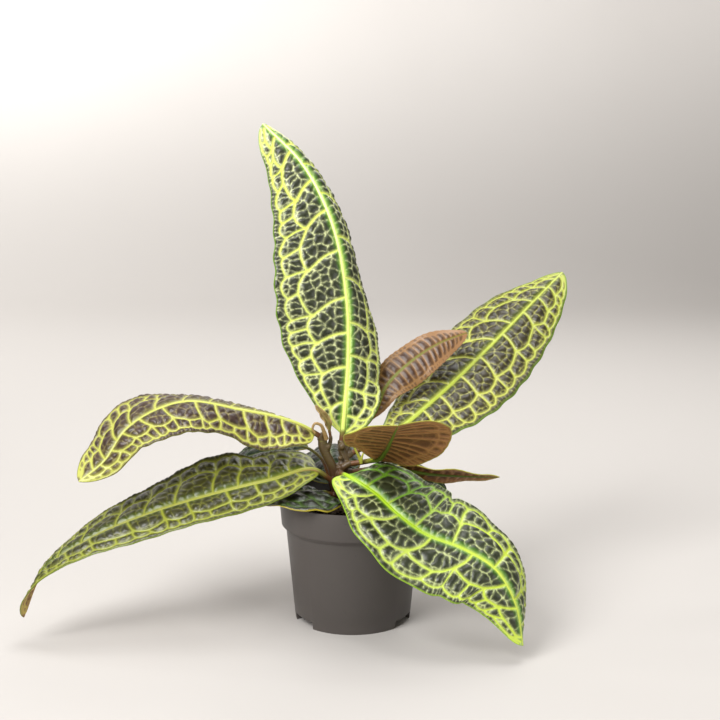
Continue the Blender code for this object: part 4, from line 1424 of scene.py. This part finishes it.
@dataclass
class Soil:
    """The potting mix: a body that fills the pot, with a crumbly top and loose bits of bark and fibre."""

    profile: tuple[tuple[float, float], ...] = (
        (5, 5.9), (46.1, 5.9), (52.9, 76), (56.5, 80), (57.4, 91))
    top_radius: float = 57.4
    top: float = 91.0
    dome: float = 4.0
    rings: int = 46
    crumbs: int = 240
    twigs: int = 26
    sides: int = 180
    seed: int = 8

    def height(self, radius: Floats) -> Floats:
        """Height of the smooth dome at a distance from the middle, in mm."""
        return self.top + self.dome * (1 - (radius / self.top_radius) ** 2)

    def bumps(self, places: Floats) -> Floats:
        """Lumps of the crumbly top at some places, in mm."""
        x, y = places[:, 0], places[:, 1]
        total = np.zeros(len(places))
        for size, step in ((0.7, 9.0), (0.45, 4.3), (0.3, 2.3)):
            turn = np.sin(x / step + 2.1 * np.sin(y / step * 0.7)) * np.cos(y / step + 1.7 * np.sin(x / step * 0.8))
            total += size * turn
        return total

    def body(self) -> bpy.types.Object:
        """Turn the body and roughen its top."""
        shares = np.linspace(1, 0.02, self.rings)[1:]
        rings = tuple((self.top_radius * t, float(self.height(np.array(self.top_radius * t)))) for t in shares)
        soil = Workbench.lathe("soil_fine", self.profile + rings, self.sides)
        places = Workbench.points(soil) / MM
        radius = np.hypot(places[:, 0], places[:, 1])
        fade = np.clip((self.top_radius - radius) / 3, 0, 1) * (places[:, 2] > self.top)
        places[:, 2] += self.bumps(places) * fade
        Workbench.move(soil, places * MM)
        soil.data.shade_smooth()
        return soil

    def bits(self) -> list[bpy.types.Object]:
        """Strew crumbs and twigs over the top."""
        random = np.random.default_rng(self.seed)
        bits = []
        for k in range(self.crumbs + self.twigs):
            radius = (self.top_radius - 3) * math.sqrt(random.uniform())
            turn = random.uniform(0, 2 * math.pi)
            x, y = radius * math.cos(turn), radius * math.sin(turn)
            z = float(self.height(np.array(radius)))
            if k < self.crumbs:
                size = random.uniform(0.5, 1.7)
                bit = Workbench.ball((0, 0, 0), size, tuple(random.uniform(0.6, 1.5, 3)), 2)
                rough = Workbench.points(bit)
                rough *= 1 + random.uniform(-0.14, 0.14, (len(rough), 1))
                Workbench.move(bit, rough + np.array((x, y, z + size * 0.4)) * MM)
            else:
                reach = random.uniform(2.5, 6.0)
                aim = np.array((math.cos(turn * 7), math.sin(turn * 7), random.uniform(-0.15, 0.15)))
                middle = np.array((x, y, z + 0.9)) * (1, 1, 1)
                t = np.linspace(-1, 1, 9)[:, None]
                bend = np.array((-aim[1], aim[0], 0)) * random.uniform(-0.3, 0.3)
                path = middle + aim * reach * t + bend * reach * t ** 2
                bit = Workbench.tube("twig", path, np.full(9, random.uniform(0.25, 0.5)), 8)[0]
            bits.append(bit)
        return bits

    def material(self) -> bpy.types.Material:
        """Rough dark peat with paler fibres."""
        paint = Paint("peat")
        at = paint.places()
        cloud = paint.noise(at, 120.0, 5.0)
        fibre = paint.noise(at, 700.0, 4.0, 0.7)
        colour = paint.blend((cloud - 0.3) * 2.0, tone(34, 25, 19), tone(62, 46, 34))
        colour = paint.blend(fibre.fall(0.4, 0.3) * 0.5, colour, tone(98, 76, 56))
        paint.bump(fibre + cloud, 0.7 * MM, 1.0)
        return paint.surface(Base_Color=colour, Roughness=0.95)

    def build(self) -> None:
        """Make the soil and hand it over."""
        soil = Workbench.join("soil_fine", [self.body(), *self.bits()])
        soil.data.materials.clear()
        soil.data.materials.append(self.material())
        Workbench.deliver(soil, "soil", "soil")


@dataclass
class Studio:
    """The pale backdrop that bends up from the floor, the soft lights and the camera."""

    width: float = 9.0
    front: float = -4.0
    bend: float = 1.9
    bend_radius: float = 1.1
    rise: float = 3.2
    steps: int = 90
    lens: float = 65.0
    place: Point = (0.006, -1.030, 0.394)
    tilt: float = 80.1

    def backdrop(self) -> None:
        """Lay the floor and bend it up behind the plant."""
        Workbench.clear()
        bpy.ops.mesh.primitive_grid_add(x_subdivisions=2, y_subdivisions=self.steps, size=1)
        backdrop = bpy.context.object
        backdrop.name = "backdrop"
        places = Workbench.points(backdrop)
        flat = self.bend - self.front
        arc = self.bend_radius * math.pi / 2
        run = (places[:, 1] + 0.5) * (flat + arc + self.rise)
        turn = np.clip((run - flat) / self.bend_radius, 0, math.pi / 2)
        above = np.maximum(run - flat - arc, 0)
        places[:, 0] *= self.width
        places[:, 1] = self.front + np.minimum(run, flat) + self.bend_radius * np.sin(turn)
        places[:, 2] = self.bend_radius * (1 - np.cos(turn)) + above
        Workbench.move(backdrop, places)
        backdrop.data.shade_smooth()
        paint = Paint("pale_backdrop")
        at = paint.places()
        cloud = paint.noise(at, 2.0)
        wall = paint.blend(cloud, (0.86, 0.82, 0.78), (0.93, 0.89, 0.85))
        # Painted shade: the floor is painted darker than the wall, fading out over 0.9 m of height, to offset the
        # lamps that hang close above it.
        colour = paint.blend(paint.axis(at, 2).fall(0.0, 0.9), wall, (0.5, 0.475, 0.45))
        backdrop.data.materials.append(paint.surface(Base_Color=colour, Roughness=0.85))

    def light(self, name: str, place: Point, size: float, power: float, aim: Point = (0, 0, 0.2)) -> None:
        """Hang one square soft light.

        Args:
            name: The light's name.
            place: Where it hangs, in metres.
            size: Its side, in metres.
            power: Its power in watts.
            aim: The place that it looks at.
        """
        lamp = bpy.data.lights.new(name, "AREA")
        lamp.size = size
        lamp.energy = power
        holder = bpy.data.objects.new(name, lamp)
        holder.location = place
        holder.rotation_euler = (Vector(aim) - Vector(place)).to_track_quat("-Z", "Y").to_euler()
        bpy.context.scene.collection.objects.link(holder)

    def camera(self) -> None:
        """Set the camera at the photograph's place."""
        camera = bpy.data.cameras.new("camera")
        camera.lens = self.lens
        camera.sensor_width = 36
        holder = bpy.data.objects.new("camera", camera)
        holder.location = self.place
        holder.rotation_euler = (math.radians(self.tilt), 0, 0)
        bpy.context.scene.collection.objects.link(holder)
        bpy.context.scene.camera = holder

    def build(self) -> None:
        """Set up the whole studio."""
        self.backdrop()
        self.light("key", (-0.85, -1.0, 1.25), 0.9, 34)
        self.light("top", (0.1, 0.1, 1.6), 0.9, 14)
        self.light("fill", (1.3, -1.0, 0.7), 0.9, 8)
        self.light("back", (0.6, 1.2, 1.3), 0.9, 8)
        self.light("wall", (-1.6, 0.9, 1.9), 1.0, 60, (-1.2, 3.0, 0.9))
        world = bpy.data.worlds.new("soft_room")
        world.use_nodes = True
        world.node_tree.nodes["Background"].inputs["Color"].default_value = (0.72, 0.7, 0.68, 1)
        world.node_tree.nodes["Background"].inputs["Strength"].default_value = 0.4
        bpy.context.scene.world = world
        bpy.context.scene.view_settings.view_transform = "Standard"
        self.camera()


def main() -> None:
    """Build every piece and set up the studio."""
    logging.basicConfig(level=logging.INFO)
    for shape in LEAVES:
        LeafPiece(shape).build()
    Crown().build()
    Shoots().build()
    Pot().build()
    Soil().build()
    Studio().build()


if __name__ == "__main__":
    main()
